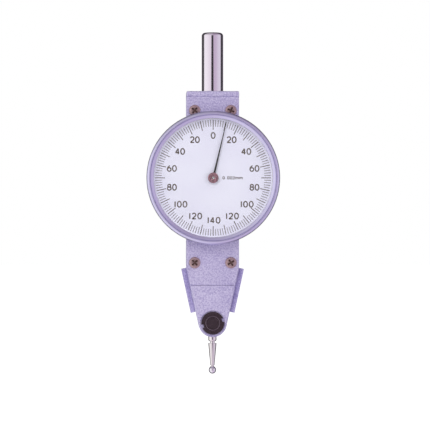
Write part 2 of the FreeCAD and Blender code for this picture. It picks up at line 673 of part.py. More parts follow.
def front_plate():
    """Cover plate from the end wall down to the seam, with chamfered front edges."""
    half = CASE_HALF - PLATE_INSET
    end_drop = SEAM_DROP - PLATE_END_GAP
    low_half = flank_x(half, end_drop)
    corners = [
        at(-half, 0, -BAND_HEIGHT),
        at(half, 0, -BAND_HEIGHT),
        at(half, 0, -TAPER_DROP),
        at(low_half, 0, -end_drop),
        at(-low_half, 0, -end_drop),
        at(-half, 0, -TAPER_DROP),
    ]
    plate = prism(polygon(corners), PLATE_FRONT, PLATE_BACK)
    front_edges = [edge for edge in plate.Edges if edge.BoundBox.YMax < PLATE_FRONT + NEAR]
    plate = plate.makeChamfer(PLATE_CHAMFER, front_edges)
    holes = rods(SCREW_SHANK_DIA, PLATE_FRONT, PLATE_BACK, screw_places())
    holes += rods(SMALL_SHANK_DIA, PLATE_FRONT, PLATE_BACK, pan_screw_places())
    holes.append(rod(ARBOR_HOLE_DIA, PLATE_FRONT, PLATE_BACK, DIAL_DROP))
    return plate.cut(holes)


def plate_screw(x, drop):
    """Pan-head screw with a cross recess."""
    front = PLATE_FRONT - SCREW_HEAD_HEIGHT
    head = rod(SCREW_HEAD_DIA, front, PLATE_FRONT, drop, x)
    head = round_edges(head, front_rim(SCREW_HEAD_DIA, front), HEAD_ROUND)
    shank = rod(SCREW_SHANK_DIA, PLATE_FRONT, PLATE_BACK + SCREW_REACH, drop, x)
    long_half = RECESS_SPAN / 2
    short_half = RECESS_WIDTH / 2
    floor = front + RECESS_DEPTH
    upright = block(x - short_half, x + short_half, front, floor, -drop - long_half, -drop + long_half)
    level = block(x - long_half, x + long_half, front, floor, -drop - short_half, -drop + short_half)
    return head.fuse(shank).cut([upright, level])


def small_screw(x, drop, seat, reach):
    """Slotted cheese-head screw that enters towards the back from a seat plane."""
    head = rod(SMALL_HEAD_DIA, seat - SMALL_HEAD_HEIGHT, seat, drop, x)
    shank = rod(SMALL_SHANK_DIA, seat, seat + reach, drop, x)
    radius = SMALL_HEAD_DIA
    half = DRIVER_SLOT_WIDTH / 2
    front = seat - SMALL_HEAD_HEIGHT
    slot = block(x - radius, x + radius, front, front + DRIVER_SLOT_DEPTH, -drop - half, -drop + half)
    return head.fuse(shank).cut(slot)


def small_screws(seat, reach, places):
    """Slotted screws at several (x, drop) places."""
    return group([small_screw(x, drop, seat, reach) for x, drop in places])


# ---- dial pan, bezel and dial ----------------------------------------------------------------
def split(shape, ring_dia, drop):
    """The ring with a gap cut through it at its lowest point."""
    half = RING_SPLIT / 2
    box = shape.BoundBox
    return shape.cut(block(-half, half, box.YMin - SPARE, box.YMax + SPARE, -drop - ring_dia, -drop))


def dial_pan():
    """Cup that stands on the front plate, with a groove for the snap ring round its wall."""
    groove_radius = PAN_RADIUS - SNAP_RING_SEAT
    cup = turned([
        (ARBOR_HOLE_DIA / 2, PLATE_FRONT),
        (PAN_BASE_DIA / 2, PLATE_FRONT),
        (PAN_BASE_DIA / 2, PAN_BACK),
        (PAN_RADIUS, PAN_BACK),
        (PAN_RADIUS, SNAP_RING_BACK),
        (groove_radius, SNAP_RING_BACK),
        (groove_radius, SNAP_RING_FRONT),
        (PAN_RADIUS, SNAP_RING_FRONT),
        (PAN_RADIUS, PAN_RIM),
        (PAN_RADIUS - PAN_WALL, PAN_RIM),
        (PAN_RADIUS - PAN_WALL, PAN_FRONT),
        (ARBOR_HOLE_DIA / 2, PAN_FRONT),
    ], DIAL_DROP)
    return cup.cut(rods(SMALL_SHANK_DIA, PAN_FRONT, PLATE_FRONT, pan_screw_places()))


def bezel_snap_ring():
    """Split ring that sits in the pan's groove and keeps the bezel on."""
    outer = 2 * (PAN_RADIUS + SNAP_RING_PROUD)
    inner = 2 * (PAN_RADIUS - SNAP_RING_SEAT)
    wire = ring(outer, inner, SNAP_RING_FRONT, SNAP_RING_BACK, DIAL_DROP)
    return split(wire, outer, DIAL_DROP)


def knurled_band():
    """Rear band of the bezel with straight V grooves round it."""
    crest = KNURL_DIA / 2
    root = crest - KNURL_DEPTH
    step = math.pi / KNURL_COUNT
    radii = (crest, root)
    corners = [polar(radii[n % 2], n * step, DIAL_DROP) for n in range(2 * KNURL_COUNT)]
    band = prism(polygon(corners), BEZEL_REAR - KNURL_LENGTH, BEZEL_REAR)
    return band.cut(rod(2 * (root - RELIEF_DEPTH), BEZEL_REAR - KNURL_LENGTH, BEZEL_REAR, DIAL_DROP))


def bezel_ring():
    """Bezel: knurled rear band, relief, rounded shoulder, fine groove and inner bevel."""
    outer = BEZEL_DIA / 2
    bore = BEZEL_BORE_DIA / 2
    band_core = KNURL_DIA / 2 - KNURL_DEPTH - RELIEF_DEPTH / 2
    relief_back = BEZEL_REAR - KNURL_LENGTH
    crest = BEZEL_CREST_DIA / 2
    bevel_outer = crest - BEZEL_GROOVE_WIDTH
    snap_floor = PAN_RADIUS + SNAP_RING_PROUD + SNAP_RING_SIDE_CLEARANCE
    snap_front = SNAP_RING_FRONT - SNAP_RING_SIDE_CLEARANCE
    snap_back = SNAP_RING_BACK + SNAP_RING_SIDE_CLEARANCE
    body = turned([
        (bore, BEZEL_REAR),
        (band_core, BEZEL_REAR),
        (band_core, relief_back - RELIEF_WIDTH),
        (outer, relief_back - RELIEF_WIDTH),
        (outer, BEZEL_FRONT),
        (crest, BEZEL_FRONT),
        (crest - BEZEL_GROOVE_WIDTH / 2, BEZEL_FRONT + BEZEL_GROOVE_DEPTH),
        (bevel_outer, BEZEL_FRONT + BEZEL_STEP),
        (BEZEL_OPENING_DIA / 2, CRYSTAL_FRONT - BEZEL_LIP),
        (BEZEL_OPENING_DIA / 2, CRYSTAL_FRONT),
        (CRYSTAL_DIA / 2, CRYSTAL_FRONT),
        (CRYSTAL_DIA / 2, CRYSTAL_BACK),
        (bore, CRYSTAL_BACK),
        (bore, snap_front),
        (snap_floor, snap_front),
        (snap_floor, snap_back),
        (bore, snap_back),
    ], DIAL_DROP)
    body = round_edges(body, front_rim(BEZEL_DIA, BEZEL_FRONT), BEZEL_SHOULDER_ROUND)
    return body.fuse(knurled_band()).removeSplitter()


def dial_parts():
    """What the bezel carries: crystal, spacer, dial and retaining ring."""
    retainer = ring(BEZEL_BORE_DIA, RETAINER_BORE_DIA, DIAL_BACK, RETAINER_BACK, DIAL_DROP)
    return {
        "crystal": rod(CRYSTAL_DIA, CRYSTAL_FRONT, CRYSTAL_BACK, DIAL_DROP),
        "dial_spacer_ring": ring(BEZEL_BORE_DIA, SPACER_BORE_DIA, CRYSTAL_BACK, DIAL_FRONT, DIAL_DROP),
        "dial_face": ring(BEZEL_BORE_DIA, DIAL_HOLE_DIA, DIAL_FRONT, DIAL_BACK, DIAL_DROP),
        "dial_retaining_ring": split(retainer, BEZEL_BORE_DIA, DIAL_DROP),
    }


# ---- hand ------------------------------------------------------------------------------------
def pointer():
    """Slim tapered hand with an eye that sits behind the hub's flange."""
    root = POINTER_ROOT_WIDTH / 2
    tip = POINTER_TIP_WIDTH / 2
    foot = -DIAL_DROP
    corners = [
        at(-root, 0, foot),
        at(root, 0, foot),
        at(tip, 0, foot + POINTER_REACH),
        at(-tip, 0, foot + POINTER_REACH),
    ]
    blade = prism(polygon(corners), POINTER_FRONT, POINTER_BACK)
    eye = rod(POINTER_EYE_DIA, POINTER_FRONT, POINTER_BACK, DIAL_DROP)
    bore = rod(HUB_COLLAR_DIA, POINTER_FRONT, POINTER_BACK, DIAL_DROP)
    return clockwise(blade.fuse(eye).cut(bore).removeSplitter(), POINTER_REST, DIAL_DROP)


def pointer_hub():
    """Flanged hub on the end of the hand arbor."""
    hub = turned([
        (HAND_ARBOR_DIA / 2, HUB_FRONT),
        (HUB_DIA / 2, HUB_FRONT),
        (HUB_DIA / 2, POINTER_FRONT),
        (HUB_COLLAR_DIA / 2, POINTER_FRONT),
        (HUB_COLLAR_DIA / 2, POINTER_FRONT + HUB_COLLAR),
        (HAND_ARBOR_DIA / 2, POINTER_FRONT + HUB_COLLAR),
    ], DIAL_DROP)
    return round_edges(hub, front_rim(HUB_DIA, HUB_FRONT), HUB_ROUND)


# ---- gear teeth ------------------------------------------------------------------------------
def involute(angle):
    """Involute function of a pressure angle in radians."""
    return math.tan(angle) - angle


def flank_half_angle(teeth, module, radius):
    """Half of a tooth's angle at a radius, on an involute flank."""
    pitch_radius = module * teeth / 2
    pressure = math.radians(PRESSURE_ANGLE)
    base = pitch_radius * math.cos(pressure)
    thickness = module * (math.pi / 2 - TOOTH_THINNING)
    local = math.acos(min(1.0, base / radius))
    return thickness / (2 * pitch_radius) + involute(pressure) - involute(local)


def tooth_edges(teeth, module, angle, drop):
    """Edges of one tooth at an angle: root end, flank, tip, flank, root end."""
    pitch_radius = module * teeth / 2
    base = pitch_radius * math.cos(math.radians(PRESSURE_ANGLE))
    root = pitch_radius - DEDENDUM * module
    tip = pitch_radius + ADDENDUM * module
    start = max(base, root)
    middle = (start + tip) / 2
    half = [flank_half_angle(teeth, module, radius) for radius in (start, middle, tip)]
    left = [polar(r, angle - h, drop) for r, h in zip((start, middle, tip), half)]
    right = [polar(r, angle + h, drop) for r, h in zip((start, middle, tip), half)]
    edges = [arc(*left), line(left[2], right[2]), arc(*reversed(right))]
    if start > root:
        edges.insert(0, line(polar(root, angle - half[0], drop), left[0]))
        edges.append(line(right[0], polar(root, angle + half[0], drop)))
    return edges


def toothed_edges(teeth, module, first, count, drop):
    """Edges of a run of teeth, joined along the root."""
    pitch = 2 * math.pi / teeth
    edges = []
    for n in range(count):
        tooth = tooth_edges(teeth, module, first + n * pitch, drop)
        if edges:
            edges.append(line(edges[-1].lastVertex(True).Point, tooth[0].firstVertex(True).Point))
        edges += tooth
    return edges


def gear_blank(teeth, module, first, y_start, y_end, drop):
    """Full gear without hub or bore."""
    edges = toothed_edges(teeth, module, first, teeth, drop)
    edges.append(line(edges[-1].lastVertex(True).Point, edges[0].firstVertex(True).Point))
    return prism(edges, y_start, y_end)


# ---- train -----------------------------------------------------------------------------------
def pivoted_arbor(diameter, drop):
    """Arbor between the movement plates, with a pivot at each end."""
    front = BRIDGE_BACK + END_FLOAT
    back = REAR_PLATE_FRONT - END_FLOAT
    body = rod(diameter, front, back, drop)
    return body.fuse([
        rod(PIVOT_DIA, BRIDGE_FRONT + PIVOT_TAIL, front, drop),
        rod(PIVOT_DIA, back, POCKET_FLOOR - PIVOT_TAIL, drop),
    ])


def centre_pinion():
    """Pinion and hand arbor in one piece; the arbor's front end carries the hand."""
    half_tooth = math.pi / CENTRE_PINION_TEETH
    back = REAR_PLATE_FRONT - END_FLOAT
    front = BRIDGE_BACK + END_FLOAT
    arbor = rod(CENTRE_ARBOR_DIA, front, back, DIAL_DROP)
    journal = rod(HAND_ARBOR_DIA, ARBOR_TIP, front, DIAL_DROP)
    pivot = rod(PIVOT_DIA, back, POCKET_FLOOR - PIVOT_TAIL, DIAL_DROP)
    span = (CENTRE_PINION_FRONT, CENTRE_PINION_BACK)
    teeth = gear_blank(CENTRE_PINION_TEETH, FAST_MODULE, half_tooth, *span, DIAL_DROP)
    return arbor.fuse([journal, pivot, teeth]).removeSplitter()


def intermediate_pinion():
    """Pinion and arbor in one piece, with a seat for the intermediate wheel."""
    half_tooth = math.pi / PINION_TEETH
    teeth = gear_blank(PINION_TEETH, SLOW_MODULE, half_tooth, PINION_FRONT, PINION_BACK, WHEEL_DROP)
    seat = rod(WHEEL_SEAT_DIA, WHEEL_BACK, WHEEL_BACK + WHEEL_SEAT, WHEEL_DROP)
    return pivoted_arbor(SLIM_ARBOR_DIA, WHEEL_DROP).fuse([teeth, seat]).removeSplitter()


def intermediate_wheel():
    """Spoked wheel that drives the centre pinion."""
    span = (WHEEL_FRONT, WHEEL_BACK)
    rim_inner = FAST_MODULE * (WHEEL_TEETH - 2 * DEDENDUM) - 2 * WHEEL_RIM
    blank = gear_blank(WHEEL_TEETH, FAST_MODULE, 0.0, *span, WHEEL_DROP)
    half = WHEEL_SPOKE_WIDTH / 2
    bar = block(-half, half, *span, -WHEEL_DROP, -WHEEL_DROP + rim_inner)
    turn = 360 / WHEEL_SPOKES
    spokes = [clockwise(bar, (n + 0.5) * turn, WHEEL_DROP) for n in range(WHEEL_SPOKES)]
    windows = ring(rim_inner, WHEEL_HUB_DIA, *span, WHEEL_DROP).cut(spokes)
    return blank.cut([windows, rod(SLIM_ARBOR_DIA, *span, WHEEL_DROP)])


def sector_arbor():
    """Arbor of the sector with the flange that the sector is riveted to."""
    seat = rod(SECTOR_SEAT_DIA, SECTOR_BACK, SECTOR_BACK + SECTOR_SEAT, SECTOR_DROP)
    return pivoted_arbor(SECTOR_ARBOR_DIA, SECTOR_DROP).fuse(seat).removeSplitter()


def sector_rim(y_start, y_end):
    """Toothed rim with its web, as a fan from the arbor's centre."""
    pitch = 2 * math.pi / SECTOR_FULL_TEETH
    first = -pitch * (SECTOR_CUT_TEETH - 1) / 2
    edges = toothed_edges(SECTOR_FULL_TEETH, SLOW_MODULE, first, SECTOR_CUT_TEETH, SECTOR_DROP)
    centre = at(0, 0, -SECTOR_DROP)
    edges.append(line(edges[-1].lastVertex(True).Point, centre))
    edges.append(line(centre, edges[0].firstVertex(True).Point))
    return prism(edges, y_start, y_end)


def sector_window(y_start, y_end):
    """Opening between the two spokes of the sector."""
    half_fan = math.pi * SECTOR_CUT_TEETH / SECTOR_FULL_TEETH
    outer = SLOW_MODULE * (SECTOR_FULL_TEETH / 2 - DEDENDUM) - SECTOR_RIM
    inner = SECTOR_WINDOW_START
    near = half_fan - math.asin(SECTOR_SPOKE_WIDTH / inner)
    far = half_fan - math.asin(SECTOR_SPOKE_WIDTH / outer)
    edges = [
        arc(*[polar(inner, a, SECTOR_DROP) for a in (-near, 0, near)]),
        line(polar(inner, near, SECTOR_DROP), polar(outer, far, SECTOR_DROP)),
        arc(*[polar(outer, a, SECTOR_DROP) for a in (far, 0, -far)]),
        line(polar(outer, -far, SECTOR_DROP), polar(inner, -near, SECTOR_DROP)),
    ]
    return prism(edges, y_start, y_end)


def sector_gear():
    """Sector: toothed fan above the arbor and a fork below it for the lever's drive pin."""
    span = (SECTOR_FRONT, SECTOR_BACK)
    slot_half = DRIVE_PIN_DIA / 2 + FORK_CLEARANCE
    prong_half = slot_half + FORK_PRONG
    fork_end = -DRIVE_PIN_DROP - FORK_OVERRUN
    slot_top = -DRIVE_PIN_DROP + DRIVE_PIN_DIA
    fork = block(-prong_half, prong_half, *span, fork_end, -SECTOR_DROP)
    hub = rod(SECTOR_HUB_DIA, *span, SECTOR_DROP)
    body = sector_rim(*span).fuse([hub, fork]).removeSplitter()
    return body.cut([
        sector_window(*span),
        block(-slot_half, slot_half, *span, fork_end, slot_top),
        rod(SECTOR_ARBOR_DIA, *span, SECTOR_DROP),
    ])


# ---- movement frame --------------------------------------------------------------------------
def pillar_places():
    """(x, drop) of the four pillars."""
    drops = (MOVEMENT_TOP_DROP + PILLAR_END_MARGIN, SECTOR_DROP - PILLAR_ABOVE_SECTOR)
    half_span = MOVEMENT_HALF - PILLAR_SIDE_MARGIN
    return [(side * half_span, drop) for drop in drops for side in (-1, 1)]


def movement_blank(y_start, y_end):
    """Rounded plate of the movement."""
    plate = block(-MOVEMENT_HALF, MOVEMENT_HALF, y_start, y_end, -MOVEMENT_END_DROP, -MOVEMENT_TOP_DROP)
    return round_edges(plate, lambda edge: edge.BoundBox.YLength > (y_end - y_start) / 2, MOVEMENT_CORNER)


def train_places():
    """(x, drop) of the three arbors."""
    return [(0.0, drop) for drop in (DIAL_DROP, WHEEL_DROP, SECTOR_DROP)]


def movement_frame():
    """Rear plate, bridge, pillars, screws and jewels."""
    rear = movement_blank(REAR_PLATE_FRONT, POCKET_FLOOR)
    rear_holes = rods(JEWEL_DIA, REAR_PLATE_FRONT, POCKET_FLOOR, train_places())
    rear_holes += rods(PILLAR_SPIGOT_DIA, REAR_PLATE_FRONT, POCKET_FLOOR, pillar_places())
    rear_holes += rods(SMALL_SHANK_DIA, REAR_PLATE_FRONT, POCKET_FLOOR, fixing_places())
    bridge = movement_blank(BRIDGE_FRONT, BRIDGE_BACK)
    bridge_holes = rods(JEWEL_DIA, BRIDGE_FRONT, BRIDGE_BACK, train_places())
    bridge_holes += rods(SMALL_SHANK_DIA, BRIDGE_FRONT, BRIDGE_BACK, pillar_places())
    bridge_reach = MOVEMENT_PLATE + BRIDGE_SCREW_REACH
    fixing_reach = MOVEMENT_PLATE + FIXING_SCREW_REACH
    return {
        "movement_rear_plate": rear.cut(rear_holes),
        "movement_bridge": bridge.cut(bridge_holes),
        "movement_pillars": group([pillar(x, drop) for x, drop in pillar_places()]),
        "bridge_screws": small_screws(BRIDGE_FRONT, bridge_reach, pillar_places()),
        "movement_fixing_screws": small_screws(REAR_PLATE_FRONT, fixing_reach, fixing_places()),
        "train_jewels": group(train_jewels()),
    }


def pillar(x, drop):
    """Pillar with a spigot in the rear plate and a tapped hole at the front."""
    body = rod(PILLAR_DIA, BRIDGE_BACK, REAR_PLATE_FRONT, drop, x)
    spigot = rod(PILLAR_SPIGOT_DIA, REAR_PLATE_FRONT, POCKET_FLOOR, drop, x)
    tapped = rod(SMALL_SHANK_DIA, BRIDGE_BACK, BRIDGE_BACK + BRIDGE_SCREW_REACH, drop, x)
    return body.fuse(spigot).cut(tapped)


def train_jewels():
    """Pierced jewels of the three arbors, one in the rear plate and one in the bridge for each."""
    pivot_hole = PIVOT_DIA + 2 * PIVOT_CLEARANCE
    hand_hole = HAND_ARBOR_DIA + 2 * PIVOT_CLEARANCE
    jewels = []
    for _, drop in train_places():
        hole = hand_hole if drop == DIAL_DROP else pivot_hole
        jewels.append(ring(JEWEL_DIA, pivot_hole, REAR_PLATE_FRONT, POCKET_FLOOR, drop))
        jewels.append(ring(JEWEL_DIA, hole, BRIDGE_FRONT, BRIDGE_BACK, drop))
    return jewels


# ---- hairspring ------------------------------------------------------------------------------
def spring_edge(offset):
    """Edges of one side of the flat spiral, as half circles that grow by half a pitch each."""
    start = COLLET_DIA / 2 - HAIRSPRING_STRIP / 2 + offset
    centre_z = -DIAL_DROP
    edges = []
    for n in range(HAIRSPRING_HALF_TURNS):
        side = 1 if n % 2 == 0 else -1
        near = start + n * HAIRSPRING_PITCH / 2
        far = near + HAIRSPRING_PITCH / 2
        top = at(side * (near - far) / 2, 0, centre_z + side * (near + far) / 2)
        edges.append(arc(at(side * near, 0, centre_z), top, at(-side * far, 0, centre_z)))
    return edges


def hairspring_parts():
    """Spiral spring, its collet on the hand arbor and its stud on the rear plate."""
    outer = spring_edge(HAIRSPRING_STRIP / 2)
    inner = spring_edge(-HAIRSPRING_STRIP / 2)
    far_cap = line(outer[-1].lastVertex(True).Point, inner[-1].lastVertex(True).Point)
    near_cap = line(inner[0].firstVertex(True).Point, outer[0].firstVertex(True).Point)
    wire = Part.Wire(Part.__sortEdges__(outer + [far_cap] + inner + [near_cap]))
    face = Part.Face(wire)
    face.translate(at(0, HAIRSPRING_FRONT, 0))
    spring = face.extrude(at(0, HAIRSPRING_WIDTH, 0))
    collet_front = HAIRSPRING_FRONT - COLLET_OVERHANG
    collet_back = HAIRSPRING_BACK + COLLET_OVERHANG
    collet = ring(COLLET_DIA, CENTRE_ARBOR_DIA, collet_front, collet_back, DIAL_DROP)
    end_x = COLLET_DIA / 2 - HAIRSPRING_STRIP / 2 + HAIRSPRING_HALF_TURNS * HAIRSPRING_PITCH / 2
    stud = rod(STUD_DIA, HAIRSPRING_FRONT - STUD_OVERHANG, REAR_PLATE_FRONT, DIAL_DROP, end_x)
    return {
        "hairspring": spring,
        "hairspring_collet": collet.cut(spring),
        "hairspring_stud": stud.cut(spring),
    }


# ---- fulcrum ---------------------------------------------------------------------------------
def bearing_bore(face, direction):
    """Stepped bore of a fulcrum bearing: jewel seat and relief, from its inner face."""
    seat_end = face + direction * BEARING_JEWEL_THICKNESS
    relief_end = seat_end + direction * BEARING_RELIEF
    seat = rod(BEARING_JEWEL_DIA, min(face, seat_end), max(face, seat_end), PIVOT_DROP)
    relief = rod(BEARING_RELIEF_DIA, min(seat_end, relief_end), max(seat_end, relief_end), PIVOT_DROP)
    return [seat, relief]


def fulcrum_bearing_cap():
    """Black cap screw in the front cheek, dished face, raised ring and two spanner notches."""
    front = CAP_SEAT - CAP_FLANGE
    flange = rod(CAP_DIA, front, CAP_SEAT, PIVOT_DROP)
    body = rod(BEARING_BODY_DIA, CAP_SEAT, BEARING_FRONT_FACE, PIVOT_DROP)
    dish = rod(CAP_RING_DIA - 2 * CAP_DISH, front, front + CAP_DISH, PIVOT_DROP)
    step = ring(2 * CAP_DIA, CAP_RING_DIA, front, front + CAP_DISH, PIVOT_DROP)
    inner_x = CAP_DIA / 2 - CAP_NOTCH_LENGTH
    half = CAP_NOTCH_WIDTH / 2
    notch = block(inner_x, CAP_DIA, front, CAP_SEAT, -PIVOT_DROP - half, -PIVOT_DROP + half)
    cuts = [clockwise(notch, turn - CAP_NOTCH_ANGLE, PIVOT_DROP) for turn in (0, 180)]
    cuts += [dish, step] + bearing_bore(BEARING_FRONT_FACE, -1)
    return flange.fuse(body).cut(cuts).removeSplitter()


def fulcrum_rear_bush():
    """Slotted bearing bush in the rear cheek."""
    back = CASE_BACK - BUSH_INSET
    body = rod(BEARING_BODY_DIA, BEARING_BACK_FACE, back, PIVOT_DROP)
    half = BUSH_SLOT_WIDTH / 2
    radius = BEARING_BODY_DIA
    slot = block(-radius, radius, back - BUSH_SLOT_DEPTH, back, -PIVOT_DROP - half, -PIVOT_DROP + half)
    return body.cut([slot] + bearing_bore(BEARING_BACK_FACE, 1))


def fulcrum_jewels():
    """Pierced jewels of the fulcrum shaft."""
    hole = SHAFT_PIVOT_DIA + 2 * PIVOT_CLEARANCE
    front = BEARING_FRONT_FACE - BEARING_JEWEL_THICKNESS
    back = BEARING_BACK_FACE + BEARING_JEWEL_THICKNESS
    return group([
        ring(BEARING_JEWEL_DIA, hole, front, BEARING_FRONT_FACE, PIVOT_DROP),
        ring(BEARING_JEWEL_DIA, hole, BEARING_BACK_FACE, back, PIVOT_DROP),
    ])


def fulcrum_shaft():
    """Shaft with a pivot at each end."""
    front = BEARING_FRONT_FACE + END_FLOAT
    back = BEARING_BACK_FACE - END_FLOAT
    length = END_FLOAT + BEARING_JEWEL_THICKNESS + PIVOT_TAIL
    return rod(SHAFT_DIA, front, back, PIVOT_DROP).fuse([
        rod(SHAFT_PIVOT_DIA, front - length, front, PIVOT_DROP),
        rod(SHAFT_PIVOT_DIA, back, back + length, PIVOT_DROP),
    ])


def fulcrum_lever():
    """Long arm of the lever, from its hub up to the drive pin, with two lightening holes."""
    root = LEVER_ROOT_WIDTH / 2
    tip = LEVER_TIP_WIDTH / 2
    corners = [
        at(-root, 0, -PIVOT_DROP),
        at(root, 0, -PIVOT_DROP),
        at(tip, 0, -DRIVE_PIN_DROP),
        at(-tip, 0, -DRIVE_PIN_DROP),
    ]
    arm = prism(polygon(corners), LEVER_ARM_FRONT, LEVER_HUB_BACK)
    end = rod(LEVER_TIP_WIDTH, LEVER_ARM_FRONT, LEVER_HUB_BACK, DRIVE_PIN_DROP)
    hub = rod(LEVER_HUB_DIA, DISC_HALF, LEVER_HUB_BACK, PIVOT_DROP)
    holes = [
        rod(LEVER_HOLE_DIA, LEVER_ARM_FRONT, LEVER_HUB_BACK, PIVOT_DROP - share * LEVER_REACH)
        for share in LEVER_HOLE_SHARES
    ]
    holes.append(rod(SHAFT_DIA, DISC_HALF, LEVER_HUB_BACK, PIVOT_DROP))
    holes.append(rod(DRIVE_PIN_DIA, LEVER_ARM_FRONT, LEVER_HUB_BACK, DRIVE_PIN_DROP))
    return arm.fuse([end, hub]).cut(holes).removeSplitter()


def clutch_spring_washer():
    """Dished washer that presses the holder's disc against the lever's hub."""
    inner = SHAFT_DIA / 2
    outer = CLUTCH_WASHER_DIA / 2
    return turned([
        (inner, WASHER_FRONT),
        (inner + CLUTCH_WASHER_LAND, WASHER_FRONT),
        (outer, -DISC_HALF - CLUTCH_WASHER_STRIP),
        (outer, -DISC_HALF),
        (outer - CLUTCH_WASHER_LAND, -DISC_HALF),
        (inner, WASHER_FRONT + CLUTCH_WASHER_STRIP),
    ], PIVOT_DROP)


def clutch_nut():
    """Hexagonal nut that loads the spring washer."""
    sixth = math.pi / 3
    corners = [polar(CLUTCH_NUT_DIA / 2, n * sixth, PIVOT_DROP) for n in range(6)]
    nut = prism(polygon(corners), NUT_FRONT, WASHER_FRONT)
    return nut.cut(rod(SHAFT_DIA, NUT_FRONT, WASHER_FRONT, PIVOT_DROP))


def fulcrum_parts():
    """Bearings, shaft, lever, clutch and stops."""
    pin_front = SECTOR_FRONT - DRIVE_PIN_OVERRUN
    stop_front = LEVER_ARM_FRONT - DRIVE_PIN_OVERRUN
    stop_back = POCKET_FLOOR + STOP_PIN_SEAT
    return {
        "fulcrum_bearing_cap": fulcrum_bearing_cap(),
        "fulcrum_rear_bush": fulcrum_rear_bush(),
        "fulcrum_jewels": fulcrum_jewels(),
        "fulcrum_shaft": fulcrum_shaft(),
        "fulcrum_lever": fulcrum_lever(),
        "lever_drive_pin": rod(DRIVE_PIN_DIA, pin_front, LEVER_HUB_BACK, DRIVE_PIN_DROP),
        "lever_stop_pins": group(rods(STOP_PIN_DIA, stop_front, stop_back, stop_pin_places())),
        "clutch_spring_washer": clutch_spring_washer(),
        "clutch_nut": clutch_nut(),
    }


# ---- contact lever ---------------------------------------------------------------------------
def stylus_holder():
    """Disc in the friction clutch with the barrel that takes the contact point."""
    disc = rod(HOLDER_DISC_DIA, -DISC_HALF, DISC_HALF, PIVOT_DROP)
    root = -PIVOT_DROP - max(LEVER_HUB_DIA, CLUTCH_WASHER_DIA) / 2 - BARREL_CLEARANCE
    end = -PIVOT_DROP - BARREL_REACH
    tongue_half = BARREL_DIA / 2 - BARREL_ROUND
    tongue = block(-tongue_half, tongue_half, -DISC_HALF, DISC_HALF, root - DISC_HALF, -PIVOT_DROP)
    barrel = spun([(0, end), (BARREL_DIA / 2, end), (BARREL_DIA / 2, root), (0, root)])
    barrel = round_edges(barrel, level_rim(BARREL_DIA, end), BARREL_ROUND)
    thread = Part.makeCylinder(TIP_THREAD_DIA / 2, TIP_THREAD_LENGTH, at(0, 0, end), ALONG_Z)
    shaft_hole = rod(SHAFT_DIA + 2 * HOLDER_BORE_CLEARANCE, -BARREL_DIA, BARREL_DIA, PIVOT_DROP)
    return disc.fuse([tongue, barrel]).cut([thread, shaft_hole]).removeSplitter()


def ball():
    """Ball at the tip."""
    return Part.makeSphere(BALL_DIA / 2, at(0, 0, -PIVOT_DROP - BALL_ARM))


def contact_point():
    """Screw-in point: threaded shank, neck, tapered body and the slim neck behind the ball."""
    seat = -PIVOT_DROP - BARREL_REACH
    shoulder = seat - TIP_NECK
    ball_centre = -PIVOT_DROP - BALL_ARM
    body_end = ball_centre + TIP_BODY_TO_BALL
    slim = BALL_NECK_DIA / 2
    rod_body = spun([
        (0, seat + TIP_THREAD_LENGTH),
        (TIP_THREAD_DIA / 2, seat + TIP_THREAD_LENGTH),
        (TIP_THREAD_DIA / 2, shoulder),
        (TIP_ROOT_DIA / 2 - TIP_EDGE, shoulder),
        (TIP_ROOT_DIA / 2, shoulder - TIP_EDGE),
        (TIP_END_DIA / 2, body_end),
        (slim, body_end - TIP_EDGE),
        (slim, ball_centre),
        (0, ball_centre),
    ])
    return rod_body.cut(ball())


def all_parts():
    """Every sub-part by name."""
    parts = {
        "case_body": case_body(),
        "stem": stem(),
        "front_plate": front_plate(),
        "front_plate_screws": group([plate_screw(x, drop) for x, drop in screw_places()]),
        "dial_pan": dial_pan(),
        "dial_pan_screws": small_screws(PAN_FRONT, PLATE_BACK - PAN_FRONT, pan_screw_places()),
        "bezel_snap_ring": bezel_snap_ring(),
        "bezel_ring": bezel_ring(),
        "pointer": pointer(),
        "pointer_hub": pointer_hub(),
        "centre_pinion": centre_pinion(),
        "intermediate_pinion": intermediate_pinion(),
        "intermediate_wheel": intermediate_wheel(),
        "sector_arbor": sector_arbor(),
        "sector_gear": sector_gear(),
        "stylus_holder": stylus_holder(),
        "contact_point": contact_point(),
        "contact_ball": ball(),
    }
    parts.update(dial_parts())
    parts.update(movement_frame())
    parts.update(hairspring_parts())
    parts.update(fulcrum_parts())
    return parts


def main():
    """Write one STEP file for each sub-part."""
    os.makedirs("parts", exist_ok=True)
    for name, shape in all_parts().items():
        if len(shape.Solids) == 1:
            shape = shape.Solids[0]
        shape.exportStep(f"parts/{name}.step")


main()
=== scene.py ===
"""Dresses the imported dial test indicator: its finishes, its fine pieces and its studio.

Lengths are written in millimetres and become metres where a mesh is made.
"""

from __future__ import annotations

import logging
import math
from dataclasses import dataclass
from enum import Enum
from typing import Any, Callable, Iterable, Mapping, Optional, Sequence

import bmesh
import bpy
from mathutils import Matrix, Vector


